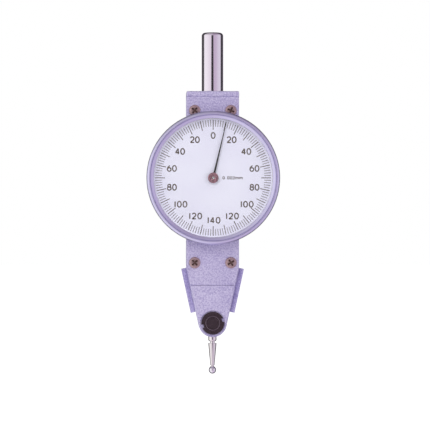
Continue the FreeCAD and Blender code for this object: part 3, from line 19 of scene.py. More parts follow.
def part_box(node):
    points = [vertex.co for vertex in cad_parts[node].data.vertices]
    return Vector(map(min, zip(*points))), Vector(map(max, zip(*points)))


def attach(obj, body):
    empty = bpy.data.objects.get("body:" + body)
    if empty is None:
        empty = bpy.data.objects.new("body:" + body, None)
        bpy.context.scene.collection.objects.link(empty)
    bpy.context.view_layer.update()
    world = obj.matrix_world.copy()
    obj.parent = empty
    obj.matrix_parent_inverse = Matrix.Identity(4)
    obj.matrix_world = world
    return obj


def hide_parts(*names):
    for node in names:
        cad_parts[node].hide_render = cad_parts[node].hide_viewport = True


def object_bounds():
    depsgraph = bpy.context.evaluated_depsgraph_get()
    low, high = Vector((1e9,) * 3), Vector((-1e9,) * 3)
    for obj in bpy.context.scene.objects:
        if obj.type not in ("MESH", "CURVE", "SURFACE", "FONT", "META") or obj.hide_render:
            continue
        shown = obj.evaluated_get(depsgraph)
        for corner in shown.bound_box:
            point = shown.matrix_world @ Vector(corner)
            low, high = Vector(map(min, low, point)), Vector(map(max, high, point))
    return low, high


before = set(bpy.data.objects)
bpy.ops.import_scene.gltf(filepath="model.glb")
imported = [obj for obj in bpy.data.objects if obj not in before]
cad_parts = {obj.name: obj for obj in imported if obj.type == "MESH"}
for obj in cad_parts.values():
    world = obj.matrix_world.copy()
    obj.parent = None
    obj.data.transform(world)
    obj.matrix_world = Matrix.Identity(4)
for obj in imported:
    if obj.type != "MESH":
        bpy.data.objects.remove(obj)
CAD_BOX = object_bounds()

MM = 0.001
log = logging.getLogger("indicator")

Outline = list[tuple[float, float]]
Tree = bpy.types.NodeTree
Socket = bpy.types.NodeSocket


def linear(colour: str, alpha: float = 1.0) -> tuple[float, float, float, float]:
    """Turns an sRGB hex colour to the linear values that a shader reads.

    Args:
        colour: six hex digits, with or without a leading hash.
        alpha: the fourth value, passed on as it is.

    Returns:
        Red, green, blue and alpha.
    """
    digits = colour.lstrip("#")
    shares = [int(digits[i:i + 2], 16) / 255 for i in (0, 2, 4)]
    red, green, blue = (
        s / 12.92 if s <= 0.04045 else ((s + 0.055) / 1.055) ** 2.4 for s in shares
    )
    return red, green, blue, alpha


def add_node(
    tree: Tree,
    kind: str,
    settings: Optional[Mapping[str, Any]] = None,
    values: Optional[Mapping[Any, Any]] = None,
    links: Optional[Mapping[Any, Socket]] = None,
    stops: Sequence[tuple[float, tuple[float, float, float, float]]] = (),
) -> bpy.types.Node:
    """Adds one node with its settings, its sockets' values and its links.

    Args:
        tree: the node tree that takes the node.
        kind: the node's type name.
        settings: attributes of the node.
        values: constants of its input sockets, by name or number.
        links: output sockets that feed its input sockets, by name or number.
        stops: places and colours of a colour ramp.

    Returns:
        The node.
    """
    node = tree.nodes.new(kind)
    for name, value in (settings or {}).items():
        setattr(node, name, value)
    for name, value in (values or {}).items():
        node.inputs[name].default_value = value
    for name, source in (links or {}).items():
        tree.links.new(source, node.inputs[name])
    if stops:
        elements = node.color_ramp.elements
        while len(elements) > 1:
            elements.remove(elements[-1])
        elements[0].position, elements[0].color = stops[0]
        for place, colour in stops[1:]:
            elements.new(place).color = colour
    return node


def grey(level: float) -> tuple[float, float, float, float]:
    """Gives a neutral colour of one linear level."""
    return level, level, level, 1.0


class Turning(Enum):
    """The line a turned piece stands on: the directions of its axis and of two radii."""

    DIAL = (Vector((0, 1, 0)), Vector((1, 0, 0)), Vector((0, 0, 1)))
    STEM = (Vector((0, 0, 1)), Vector((1, 0, 0)), Vector((0, 1, 0)))


@dataclass(frozen=True)
class Finish:
    """What every finish shares: a name and a way to make its material."""

    name: str

    def shade(self, tree: Tree) -> Socket:
        """Adds the finish's nodes and returns the shader that they end in."""
        raise NotImplementedError

    def surface(
        self,
        tree: Tree,
        height: Socket,
        depth_mm: float,
        relief: float,
        values: Mapping[str, Any],
        links: Mapping[str, Socket],
    ) -> Socket:
        """Ends a finish in its shader, with the relief of its grain.

        Args:
            tree: the material's nodes.
            height: the grain's height.
            depth_mm: how high its crests stand.
            relief: the share of the grain that shows.
            values: the shader's constants.
            links: what varies over the surface.

        Returns:
            The shader.
        """
        bump = add_node(
            tree, "ShaderNodeBump", values={"Strength": relief, "Distance": depth_mm * MM},
            links={"Height": height},
        )
        shader = add_node(
            tree, "ShaderNodeBsdfPrincipled", values=values,
            links={**links, "Normal": bump.outputs["Normal"]},
        )
        return shader.outputs[0]

    def material(self) -> bpy.types.Material:
        """Makes the material once, and returns it after that."""
        known = bpy.data.materials.get(self.name)
        if known:
            return known
        made = bpy.data.materials.new(self.name)
        made.use_nodes = True
        tree = made.node_tree
        tree.nodes.clear()
        add_node(tree, "ShaderNodeOutputMaterial", links={"Surface": self.shade(tree)})
        return made


@dataclass(frozen=True)
class PlatedSatinChrome(Finish):
    """Hard chrome over glass-bead blasted steel: a soft lavender grey with a fine even grain.

    Real grain is about 0.05 mm; it is drawn coarser, so that it shows at the whole object's size.
    """

    colour: str = "E2DCF8"
    shade_colour: str = "B8AFDB"
    roughness: float = 0.48
    metallic: float = 0.6
    grain_mm: float = 0.4
    cloud_mm: float = 7.0
    grain_height_mm: float = 0.006
    relief: float = 0.35
    cloud_share: float = 0.3
    tones_at: tuple[float, float] = (0.50, 0.80)
    swing: float = 0.05

    def shade(self, tree: Tree) -> Socket:
        """Adds the grain, the faint clouds of the blasting and the metal."""
        place = add_node(tree, "ShaderNodeTexCoord").outputs["Object"]
        grain = add_node(
            tree, "ShaderNodeTexNoise",
            values={"Scale": 1 / (self.grain_mm * MM), "Detail": 2.0, "Roughness": 0.6},
            links={"Vector": place},
        )
        clouds = add_node(
            tree, "ShaderNodeTexNoise",
            values={"Scale": 1 / (self.cloud_mm * MM), "Detail": 3.0, "Roughness": 0.55},
            links={"Vector": place},
        )
        both = add_node(
            tree, "ShaderNodeMath", {"operation": "MULTIPLY_ADD"}, {1: self.cloud_share},
            {0: clouds.outputs["Fac"], 2: grain.outputs["Fac"]},
        )
        tone = add_node(
            tree, "ShaderNodeValToRGB", links={"Fac": both.outputs[0]},
            stops=tuple(zip(self.tones_at, (linear(self.shade_colour), linear(self.colour)))),
        )
        rough = add_node(
            tree, "ShaderNodeMapRange",
            values={
                "To Min": self.roughness - self.swing, "To Max": self.roughness + self.swing,
            },
            links={"Value": grain.outputs["Fac"]},
        )
        return self.surface(
            tree, grain.outputs["Fac"], self.grain_height_mm, self.relief,
            {"Metallic": self.metallic},
            {"Base Color": tone.outputs["Color"], "Roughness": rough.outputs["Result"]},
        )


@dataclass(frozen=True)
class TurnedSatinChrome(PlatedSatinChrome):
    """Satin chrome over a turned ring: the same grey with fine circles left by the tool."""

    relief: float = 0.3
    pitch_mm: float = 0.18
    circle_height_mm: float = 0.004
    centre_z_mm: float = 0.0

    def shade(self, tree: Tree) -> Socket:
        """Adds the tool's circles round the dial's axis, the grain and the metal."""
        place = add_node(tree, "ShaderNodeTexCoord").outputs["Object"]
        centred = add_node(
            tree, "ShaderNodeVectorMath", {"operation": "SUBTRACT"},
            {1: (0.0, 0.0, self.centre_z_mm * MM)}, {0: place},
        )
        flat = add_node(
            tree, "ShaderNodeVectorMath", {"operation": "MULTIPLY"},
            {1: (1.0, 0.0, 1.0)}, {0: centred.outputs[0]},
        )
        radius = add_node(
            tree, "ShaderNodeVectorMath", {"operation": "LENGTH"},
            links={0: flat.outputs[0]},
        )
        line = add_node(
            tree, "ShaderNodeCombineXYZ", links={"X": radius.outputs["Value"]},
        )
        circles = add_node(
            tree, "ShaderNodeTexNoise",
            values={"Scale": 1 / (self.pitch_mm * MM), "Detail": 1.0},
            links={"Vector": line.outputs[0]},
        )
        grain = add_node(
            tree, "ShaderNodeTexNoise",
            values={"Scale": 1 / (self.grain_mm * MM), "Detail": 2.0},
            links={"Vector": place},
        )
        height = add_node(
            tree, "ShaderNodeMath", {"operation": "MULTIPLY_ADD"}, {1: 0.6},
            {0: grain.outputs["Fac"], 2: circles.outputs["Fac"]},
        )
        tone = add_node(
            tree, "ShaderNodeValToRGB", links={"Fac": circles.outputs["Fac"]},
            stops=((0.35, linear(self.shade_colour)), (0.65, linear(self.colour))),
        )
        return self.surface(
            tree, height.outputs[0], self.circle_height_mm, self.relief,
            {"Metallic": 1.0, "Roughness": self.roughness},
            {"Base Color": tone.outputs["Color"]},
        )


@dataclass(frozen=True)
class GroundSteel(Finish):
    """Hardened steel, ground and polished: nearly a mirror, with the wheel's faint lines."""

    colour: str = "E4DCE6"
    roughness: float = 0.12
    line_mm: float = 0.12
    line_height_mm: float = 0.0008
    relief: float = 0.25
    line_squeeze: float = 0.08
    swing: float = 0.3

    def shade(self, tree: Tree) -> Socket:
        """Adds the grinding lines, which run round the upright axis, and the metal."""
        place = add_node(tree, "ShaderNodeTexCoord").outputs["Object"]
        drawn = add_node(
            tree, "ShaderNodeVectorMath", {"operation": "MULTIPLY"},
            {1: (self.line_squeeze, self.line_squeeze, 1.0)}, {0: place},
        )
        lines = add_node(
            tree, "ShaderNodeTexNoise",
            values={"Scale": 1 / (self.line_mm * MM), "Detail": 3.0},
            links={"Vector": drawn.outputs[0]},
        )
        rough = add_node(
            tree, "ShaderNodeMapRange",
            values={
                "To Min": self.roughness * (1 - self.swing),
                "To Max": self.roughness * (1 + self.swing),
            },
            links={"Value": lines.outputs["Fac"]},
        )
        return self.surface(
            tree, lines.outputs["Fac"], self.line_height_mm, self.relief,
            {"Base Color": linear(self.colour), "Metallic": 1.0},
            {"Roughness": rough.outputs["Result"]},
        )


@dataclass(frozen=True)
class MottledMetal(Finish):
    """A machined or worked metal whose tone wanders between two colours at a grain's scale."""

    colour: str = "B0A890"
    second_colour: str = "8C8066"
    roughness: float = 0.35
    grain_mm: float = 0.5
    grain_height_mm: float = 0.004
    metallic: float = 1.0
    relief: float = 0.4
    swing: float = 0.06

    def shade(self, tree: Tree) -> Socket:
        """Adds the wandering tone, the shallow grain and the metal."""
        place = add_node(tree, "ShaderNodeTexCoord").outputs["Object"]
        grain = add_node(
            tree, "ShaderNodeTexNoise",
            values={"Scale": 1 / (self.grain_mm * MM), "Detail": 4.0, "Roughness": 0.6},
            links={"Vector": place},
        )
        tone = add_node(
            tree, "ShaderNodeValToRGB", links={"Fac": grain.outputs["Fac"]},
            stops=((0.35, linear(self.second_colour)), (0.65, linear(self.colour))),
        )
        rough = add_node(
            tree, "ShaderNodeMapRange",
            values={
                "To Min": self.roughness - self.swing, "To Max": self.roughness + self.swing,
            },
            links={"Value": grain.outputs["Fac"]},
        )
        return self.surface(
            tree, grain.outputs["Fac"], self.grain_height_mm, self.relief,
            {"Metallic": self.metallic},
            {"Base Color": tone.outputs["Color"], "Roughness": rough.outputs["Result"]},
        )


@dataclass(frozen=True)
class SprayedEnamel(Finish):
    """A sprayed and baked coat on sheet metal: even colour under a faint orange peel."""

    colour: str = "E9E8F6"
    cloud_colour: str = "E2E0F1"
    roughness: float = 0.55
    peel_mm: float = 0.35
    peel_height_mm: float = 0.003
    specular: float = 0.3
    relief: float = 0.3

    def shade(self, tree: Tree) -> Socket:
        """Adds the coat's slow change of tone, its peel and the coat."""
        place = add_node(tree, "ShaderNodeTexCoord").outputs["Object"]
        peel = add_node(
            tree, "ShaderNodeTexNoise",
            values={"Scale": 1 / (self.peel_mm * MM), "Detail": 2.0},
            links={"Vector": place},
        )
        clouds = add_node(
            tree, "ShaderNodeTexNoise",
            values={"Scale": 1 / (40 * self.peel_mm * MM), "Detail": 2.0},
            links={"Vector": place},
        )
        tone = add_node(
            tree, "ShaderNodeValToRGB", links={"Fac": clouds.outputs["Fac"]},
            stops=((0.35, linear(self.cloud_colour)), (0.65, linear(self.colour))),
        )
        return self.surface(
            tree, peel.outputs["Fac"], self.peel_height_mm, self.relief,
            {"Roughness": self.roughness, "Specular IOR Level": self.specular},
            {"Base Color": tone.outputs["Color"]},
        )


@dataclass(frozen=True)
class ClearCrystal(Finish):
    """Polished acrylic: clear and colourless, and seen only by what it mirrors."""

    tint: str = "FDFDFE"
    ior: float = 1.49
    roughness: float = 0.0
    smear_mm: float = 9.0

    def shade(self, tree: Tree) -> Socket:
        """Adds the glass, which lets lamps through, and the faint smears of handling on it."""
        place = add_node(tree, "ShaderNodeTexCoord").outputs["Object"]
        smears = add_node(
            tree, "ShaderNodeTexNoise",
            values={"Scale": 1 / (self.smear_mm * MM), "Detail": 5.0},
            links={"Vector": place},
        )
        rough = add_node(
            tree, "ShaderNodeMapRange", values={"To Min": self.roughness, "To Max": 0.03},
            links={"Value": smears.outputs["Fac"]},
        )
        glass = add_node(
            tree, "ShaderNodeBsdfPrincipled",
            values={
                "Base Color": linear(self.tint), "IOR": self.ior, "Transmission Weight": 1.0,
            },
            links={"Roughness": rough.outputs["Result"]},
        )
        clear = add_node(tree, "ShaderNodeBsdfTransparent")
        path = add_node(tree, "ShaderNodeLightPath")
        lamps = add_node(
            tree, "ShaderNodeMath", {"operation": "MAXIMUM"},
            links={0: path.outputs["Is Shadow Ray"], 1: path.outputs["Is Diffuse Ray"]},
        )
        both = add_node(
            tree, "ShaderNodeMixShader",
            links={0: lamps.outputs[0], 1: glass.outputs[0], 2: clear.outputs[0]},
        )
        return both.outputs[0]


@dataclass(frozen=True)
class CutRuby(Finish):
    """Synthetic ruby, ground and polished: deep red that lets a little light in."""

    colour: str = "B3123A"
    ior: float = 1.77
    roughness: float = 0.05
    cloud_mm: float = 0.3

    def shade(self, tree: Tree) -> Socket:
        """Adds the stone's faint clouds and the stone."""
        place = add_node(tree, "ShaderNodeTexCoord").outputs["Object"]
        clouds = add_node(
            tree, "ShaderNodeTexNoise", values={"Scale": 1 / (self.cloud_mm * MM)},
            links={"Vector": place},
        )
        tone = add_node(
            tree, "ShaderNodeValToRGB", links={"Fac": clouds.outputs["Fac"]},
            stops=((0.3, linear("8E0D2E")), (0.7, linear(self.colour))),
        )
        stone = add_node(
            tree, "ShaderNodeBsdfPrincipled",
            values={
                "Roughness": self.roughness, "IOR": self.ior, "Transmission Weight": 0.35,
            },
            links={"Base Color": tone.outputs["Color"]},
        )
        return stone.outputs[0]


@dataclass(frozen=True)
class StudioWhite(Finish):
    """Matt white paper: takes the object's shadow, and is white where the light meets it."""

    level: float = 0.88
    lift: float = 0.55

    def shade(self, tree: Tree) -> Socket:
        """Adds the paper and the share that only the camera, metal and glass see."""
        path = add_node(tree, "ShaderNodeLightPath")
        mirrored = add_node(
            tree, "ShaderNodeMath", {"operation": "MAXIMUM"},
            links={0: path.outputs["Is Glossy Ray"], 1: path.outputs["Is Transmission Ray"]},
        )
        seen = add_node(
            tree, "ShaderNodeMath", {"operation": "MAXIMUM"},
            links={0: path.outputs["Is Camera Ray"], 1: mirrored.outputs[0]},
        )
        strength = add_node(
            tree, "ShaderNodeMath", {"operation": "MULTIPLY"}, {1: self.lift},
            {0: seen.outputs[0]},
        )
        paper = add_node(
            tree, "ShaderNodeBsdfDiffuse", values={"Color": grey(self.level)}
        )
        glow = add_node(
            tree, "ShaderNodeEmission", values={"Color": grey(1.0)},
            links={"Strength": strength.outputs[0]},
        )
        both = add_node(
            tree, "ShaderNodeAddShader", links={0: paper.outputs[0], 1: glow.outputs[0]}
        )
        return both.outputs[0]


CASE_CHROME = PlatedSatinChrome("satin_chrome_bead_blasted")
# Ground between centres: bright bands with sharp dark edges along the stem.
STEM_STEEL = GroundSteel("hardened_steel_centreless_ground")
# Polished after hardening: brighter and more sharply mirrored than the stem.
POINT_STEEL = GroundSteel("hardened_steel_polished", colour="EFE9EA", roughness=0.10)
# Lapped to a mirror: the ball shows the whole tent in small.
CARBIDE = GroundSteel("tungsten_carbide_lapped", colour="EEEAF2", roughness=0.06)
# Tumbled steel: a warm brownish grey that is mottled rather than bright.
SCREW_STEEL = MottledMetal(
    "screw_steel_burnished", "CBB0B1", "9E8283", roughness=0.34, grain_mm=0.3, metallic=0.8,
)
# Painted shade in the cross: the recess faces are coloured dark and dull beside the head, where
# shade falls inside the recess.
SCREW_RECESS_PAINTED_SHADE = MottledMetal(
    "screw_recess_oiled", "80645F", "5E4845", roughness=0.45, grain_mm=0.2, metallic=0.5,
)
# Hot blacked steel: a brownish black with a soft gloss.
CAP_OXIDE = MottledMetal(
    "steel_black_oxide", "4E3F47", "3A2E34", roughness=0.32, grain_mm=0.25, metallic=0.5,
)
# The same steel coloured a lighter grey on the cap's rim: a painted highlight, a thin grey line of
# light.
CAP_RIM_PAINTED_HIGHLIGHT = MottledMetal(
    "steel_black_oxide_painted_highlight", "8C7C86", "6A5C65", roughness=0.24, grain_mm=0.2, metallic=0.9,
)
# Rolled sheet, only brushed: warm yellow plates and wheels inside the case.
BRASS = MottledMetal("clock_brass_rolled", "C9A95E", "B08F48", roughness=0.3, grain_mm=0.8)
# Turned bar: neutral grey arbors and pinions.
ARBOR_STEEL = MottledMetal(
    "arbor_steel_turned", "A9A7A9", "8F8C90", roughness=0.25, grain_mm=0.4,
)
# Rolled and tempered strip: a bluish grey, smoother than the arbors.
SPRING_STEEL = MottledMetal(
    "spring_alloy_rolled", "8E8FA0", "747689", roughness=0.22, grain_mm=0.6,
)
# Lacquered bronze: a reddish brown hub with a soft shine.
HUB_BRONZE = MottledMetal(
    "hub_bronze_lacquered", "8E6670", "77525D", roughness=0.36, grain_mm=0.25, metallic=0.8,
)
DIAL_ENAMEL = SprayedEnamel("dial_white_baked_enamel")
# Pad printed: matt brown black lines that stand a hair above the enamel.
DIAL_INK = SprayedEnamel(
    "printing_ink_sepia_black", "50443C", "5C4F46", roughness=0.7, peel_mm=0.1, specular=0.1,
)
# Stoved lacquer: nearly black with hardly any gloss, so that the hand reads clearly.
HAND_LACQUER = SprayedEnamel(
    "hand_black_stoved_lacquer", "0F0A0C", "150E11", roughness=0.5, peel_mm=0.1, specular=0.15,
)
CRYSTAL = ClearCrystal("acrylic_crystal_polished")
RUBY = CutRuby("synthetic_ruby_polished")
# Silvered and left bare: a pale ring that lifts the dial's edge.
RING_SILVER = MottledMetal(
    "reflector_ring_silvered", "F4F2FA", "ECE9F6", roughness=0.4, grain_mm=0.3, metallic=0.2,
)
PAPER = StudioWhite("studio_paper_white")

NODE_FINISHES: dict[str, Finish] = {
    "dial_spacer_ring": RING_SILVER,
    "stylus_holder": POINT_STEEL,
    "contact_point": POINT_STEEL,
}
SLOT_FINISHES: dict[str, Finish] = {
    "satin_chrome": CASE_CHROME,
    "black_oxide": CAP_OXIDE,
    "screw_steel": SCREW_STEEL,
    "silvered_dial": DIAL_ENAMEL,
    "crystal_glass": CRYSTAL,
    "brass": BRASS,
    "steel": ARBOR_STEEL,
    "spring_alloy": SPRING_STEEL,
    "ruby": RUBY,
    "black_lacquer": HAND_LACQUER,
    "bronze_hub": HUB_BRONZE,
    "carbide": CARBIDE,
}


def mesh_piece(
    name: str,
    vertices: Sequence[Vector],
    faces: Sequence[Sequence[int]],
    finish: Finish,
    crease: float = 32.0,
) -> bpy.types.Object:
    """Makes an object of vertices in millimetres, smooth up to a crease angle.

    Args:
        name: the piece's name.
        vertices: its corners, in the model's frame.
        faces: its faces, as numbers of corners.
        finish: what it is dressed in.
        crease: the angle in degrees above which an edge stays sharp.

    Returns:
        The object, linked to the scene.
    """
    mesh = bpy.data.meshes.new(name)
    mesh.from_pydata([v * MM for v in vertices], [], faces)
    work = bmesh.new()
    work.from_mesh(mesh)
    bmesh.ops.remove_doubles(work, verts=work.verts, dist=1e-7)
    bmesh.ops.recalc_face_normals(work, faces=work.faces)
    work.to_mesh(mesh)
    work.free()
    smooth(mesh, crease)
    mesh.materials.append(finish.material())
    piece = bpy.data.objects.new(name, mesh)
    bpy.context.scene.collection.objects.link(piece)
    return piece


def smooth(mesh: bpy.types.Mesh, crease: float) -> None:
    """Shades a mesh smooth, apart from its edges sharper than crease degrees."""
    mesh.shade_smooth()
    mesh.set_sharp_from_angle(angle=math.radians(crease))


def eased(outline: Outline, corners: Mapping[int, float], steps: int = 5) -> Outline:
    """Rounds some corners of an outline.

    Args:
        outline: its points in order, as radius and place along the axis.
        corners: the radius of each rounded corner, by the number of its point.
        steps: the arc's number of chords.

    Returns:
        The outline with arcs in place of those points.
    """
    rounded: Outline = []
    count = len(outline)
    for number, point in enumerate(outline):
        if number not in corners:
            rounded.append(point)
            continue
        here = Vector(point)
        before = (Vector(outline[number - 1]) - here).normalized()
        after = (Vector(outline[(number + 1) % count]) - here).normalized()
        half = before.angle(after) / 2
        reach = corners[number] / math.tan(half)
        centre = here + (before + after).normalized() * corners[number] / math.sin(half)
        start, end = here + before * reach - centre, here + after * reach - centre
        turn = start.angle_signed(end)
        for step in range(steps + 1):
            spoke = Matrix.Rotation(-turn * step / steps, 2) @ start
            rounded.append(tuple(centre + spoke))
    return rounded


def turned(
    name: str,
    outline: Outline,
    finish: Finish,
    turning: Turning,
    centre: Vector,
    steps: int = 96,
    closed: bool = False,
    cut: Optional[Callable[[float, float, int], float]] = None,
    crease: float = 32.0,
) -> bpy.types.Object:
    """Turns an outline about an axis.

    Args:
        name: the piece's name.
        outline: radius and place along the axis of each point, in order.
        finish: what the piece is dressed in.
        turning: the direction of the axis.
        centre: a point on the axis, in millimetres, from which the places count.
        steps: the number of faces round the axis.
        closed: whether the last point joins the first, as in a ring.
        cut: gives a point's radius from its radius, its place and the number of the step.
        crease: the angle in degrees above which an edge stays sharp.

    Returns:
        The object.
    """
    axis, across, up = turning.value
    vertices: list[Vector] = []
    for step in range(steps):
        angle = 2 * math.pi * step / steps
        spoke = across * math.cos(angle) + up * math.sin(angle)
        for radius, place in outline:
            reach = cut(radius, place, step) if cut else radius
            vertices.append(centre + axis * place + spoke * reach)
    count = len(outline)
    rows = count if closed else count - 1
    faces = []
    for step in range(steps):
        here, there = step * count, (step + 1) % steps * count
        for row in range(rows):
            following = (row + 1) % count
            corners = [here + row, here + following, there + following, there + row]
            if outline[row][0] < 1e-9:
                corners.remove(there + row)
            elif outline[following][0] < 1e-9:
                corners.remove(there + following)
            faces.append(corners)
    return mesh_piece(name, vertices, faces, finish, crease)


def carved(piece: bpy.types.Object, tool: bpy.types.Object) -> None:
    """Cuts one object's mesh with another's, which leaves its finish on the cut, and removes it.

    Args:
        piece: the object that is cut.
        tool: the object that cuts it.
    """
    modifier = piece.modifiers.new("cut", "BOOLEAN")
    modifier.operation = "DIFFERENCE"
    modifier.solver = "EXACT"
    modifier.material_mode = "TRANSFER"
    modifier.object = tool
    bpy.context.view_layer.update()
    graph = bpy.context.evaluated_depsgraph_get()
    result = bpy.data.meshes.new_from_object(piece.evaluated_get(graph))
    piece.modifiers.clear()
    piece.data = result
    bpy.data.objects.remove(tool)


@dataclass
class Casework:
    """The four screws that hold the front plate to the case."""

    head_radius: float = 1.565
    head_height: float = 0.70
    head_round: float = 0.38
    head_crown: float = 0.10
    shank_radius: float = 0.8
    shank_length: float = 3.0
    crown_share: float = 0.55
    crown_round: float = 1.6
    recess_length: float = 2.1
    recess_width: float = 0.46
    recess_depth: float = 0.5
    recess_mouth: tuple[float, float] = (1.15, 1.1)
    recess_foot: tuple[float, float] = (0.55, 0.8)
    blade_clearance: float = 0.2
    turns: tuple[float, ...] = (38.0, 24.0, 47.0, 58.0)

    def places(self) -> list[Vector]:
        """Gives the centres of the screw heads, on the front of the plate."""
        low, high = (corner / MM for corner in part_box("front_plate_screws"))
        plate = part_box("front_plate")[0].y / MM
        inset = (high.x - low.x) / 2 - self.head_radius
        rows = (high.z - self.head_radius, low.z + self.head_radius)
        return [Vector((side * inset, plate, row)) for row in rows for side in (-1, 1)]

    def screw(self, number: int, place: Vector) -> bpy.types.Object:
        """Makes one round-headed screw with a cross recess.

        Args:
            number: the screw's number, from the upper left.
            place: the centre of the head's underside.

        Returns:
            The screw.
        """
        crown = self.head_height - self.head_crown
        outline = eased(
            [
                (0.0, -self.head_height),
                (self.head_radius * self.crown_share, -self.head_height),
                (self.head_radius, -crown), (self.head_radius, 0.0),
                (self.shank_radius, 0.0), (self.shank_radius, self.shank_length),
                (0.0, self.shank_length),
            ],
            {1: self.crown_round, 2: self.head_round},
        )
        piece = turned(
            f"plate_screw_{number}", outline, SCREW_STEEL, Turning.DIAL, place, 64,
        )
        for extra in (0.0, 90.0):
            carved(piece, self.recess(place, self.turns[number - 1] + extra))
        smooth(piece.data, 25.0)
        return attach(piece, "case")

    def recess(self, place: Vector, turn: float) -> bpy.types.Object:
        """Makes the tapered blade that cuts one slot of a cross recess, and leaves its dark finish
        on the cut as painted shade.

        Args:
            place: the centre of the head's underside.
            turn: the slot's angle in degrees.

        Returns:
            The blade.
        """
        front = place.y - self.head_height - self.blade_clearance
        foot = place.y - self.head_height + self.recess_depth
        rotation = Matrix.Rotation(math.radians(turn), 3, "Y")
        vertices = []
        for depth, (long, wide) in ((front, self.recess_mouth), (foot, self.recess_foot)):
            length, width = self.recess_length * long, self.recess_width * wide
            for x, z in ((-1, -1), (1, -1), (1, 1), (-1, 1)):
                offset = rotation @ Vector((x * length / 2, 0.0, z * width / 2))
                vertices.append(Vector((place.x, depth, place.z)) + offset)
        faces = [(0, 1, 2, 3), (4, 7, 6, 5)]
        faces += [(i, i + 4, (i + 1) % 4 + 4, (i + 1) % 4) for i in range(4)]
        return mesh_piece("recess_blade", vertices, faces, SCREW_RECESS_PAINTED_SHADE)

    def build(self) -> Iterable[bpy.types.Object]:
        """Builds the four screws in place of the plain ones."""
        for number, place in enumerate(self.places(), 1):
            screw = self.screw(number, place)
            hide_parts("front_plate_screws")
            yield screw


@dataclass
class Stem:
    """The round stem that a holder grips."""

    end_round: float = 0.9
    spigot_radius: float = 2.5
    foot_chamfer: float = 0.12
    steps: int = 192

    def build(self) -> Iterable[bpy.types.Object]:
        """Builds the ground stem with its spigot."""
        low, high = (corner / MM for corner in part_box("stem"))
        radius = high.x
        outline = eased(
            [
                (0.0, high.z), (radius, high.z), (radius, self.foot_chamfer),
                (radius - self.foot_chamfer, 0.0), (self.spigot_radius, 0.0),
                (self.spigot_radius, low.z), (0.0, low.z),
            ],
            {1: self.end_round}, 12,
        )
        stem = turned(
            "stem_ground", outline, STEM_STEEL, Turning.STEM, Vector((0, 0, 0)), self.steps,
        )
        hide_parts("stem")
        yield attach(stem, "case")


@dataclass
class Bezel:
    """The turning ring that holds the crystal: knurled behind, stepped and bevelled in front."""

    knurl_radius: float = 18.0
    knurl_depth: float = 0.25
    knurl_teeth: int = 120
    knurl_length: float = 2.5
    relief: float = 0.3
    crest_radius: float = 17.3
    shoulder_round: float = 0.85
    groove_radius: float = 17.2
    groove_depth: float = 0.2
    groove_half_floor: float = 0.03
    bevel_outer: float = 17.1
    bevel_inner: float = 16.3
    bevel_outer_drop: float = 0.05
    bevel_inner_drop: float = 0.35
    lip_drop: float = 0.55
    seat_drop: float = 1.35
    bore: float = 16.95
    crystal_radius: float = 16.6
    steps_per_tooth: int = 6
    rear_round: float = 0.12
    band_round: float = 0.1
    crest_round: float = 0.05
    bevel_round: float = 0.03

    def build(self) -> Iterable[bpy.types.Object]:
        """Builds the ring with its knurl."""
        low, high = (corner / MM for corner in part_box("bezel_ring"))
        centre = Vector((0.0, 0.0, (low.z + high.z) / 2))
        front, rear, outer = low.y, high.y, high.x
        band = rear - self.knurl_length
        outline = eased(
            [
                (self.bore, rear), (self.knurl_radius, rear), (self.knurl_radius, band),
                (self.knurl_radius - self.relief, band),
                (self.knurl_radius - self.relief, band - self.relief),
                (outer, band - self.relief), (outer, front), (self.crest_radius, front),
                (self.groove_radius + self.groove_half_floor, front + self.groove_depth),
                (self.groove_radius - self.groove_half_floor, front + self.groove_depth),
                (self.bevel_outer, front + self.bevel_outer_drop),
                (self.bevel_inner, front + self.bevel_inner_drop),
                (self.bevel_inner, front + self.lip_drop),
                (self.crystal_radius, front + self.lip_drop),
                (self.crystal_radius, front + self.seat_drop), (self.bore, front + self.seat_drop),
            ],
            {
                1: self.rear_round, 2: self.band_round, 5: self.band_round,
                6: self.shoulder_round, 7: self.crest_round,
                10: self.bevel_round, 11: self.bevel_round,
            },
            6,
        )

        def knurled(radius: float, place: float, step: int) -> float:
            """Cuts the valleys of the knurl into the band's outer points."""
            if place < band - 1e-6 or radius < self.knurl_radius - self.knurl_depth:
                return radius
            share = step % self.steps_per_tooth / self.steps_per_tooth
            return radius - self.knurl_depth * (1 - abs(2 * share - 1))

        finish = TurnedSatinChrome(
            "satin_chrome_turned", colour="E6E4FC", shade_colour="D2CEF0", roughness=0.36,
            centre_z_mm=centre.z,
        )
        ring = turned(
            "bezel_knurled", outline, finish, Turning.DIAL, centre,
            self.knurl_teeth * self.steps_per_tooth, True, knurled,
        )
        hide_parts("bezel_ring")
        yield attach(ring, "bezel")


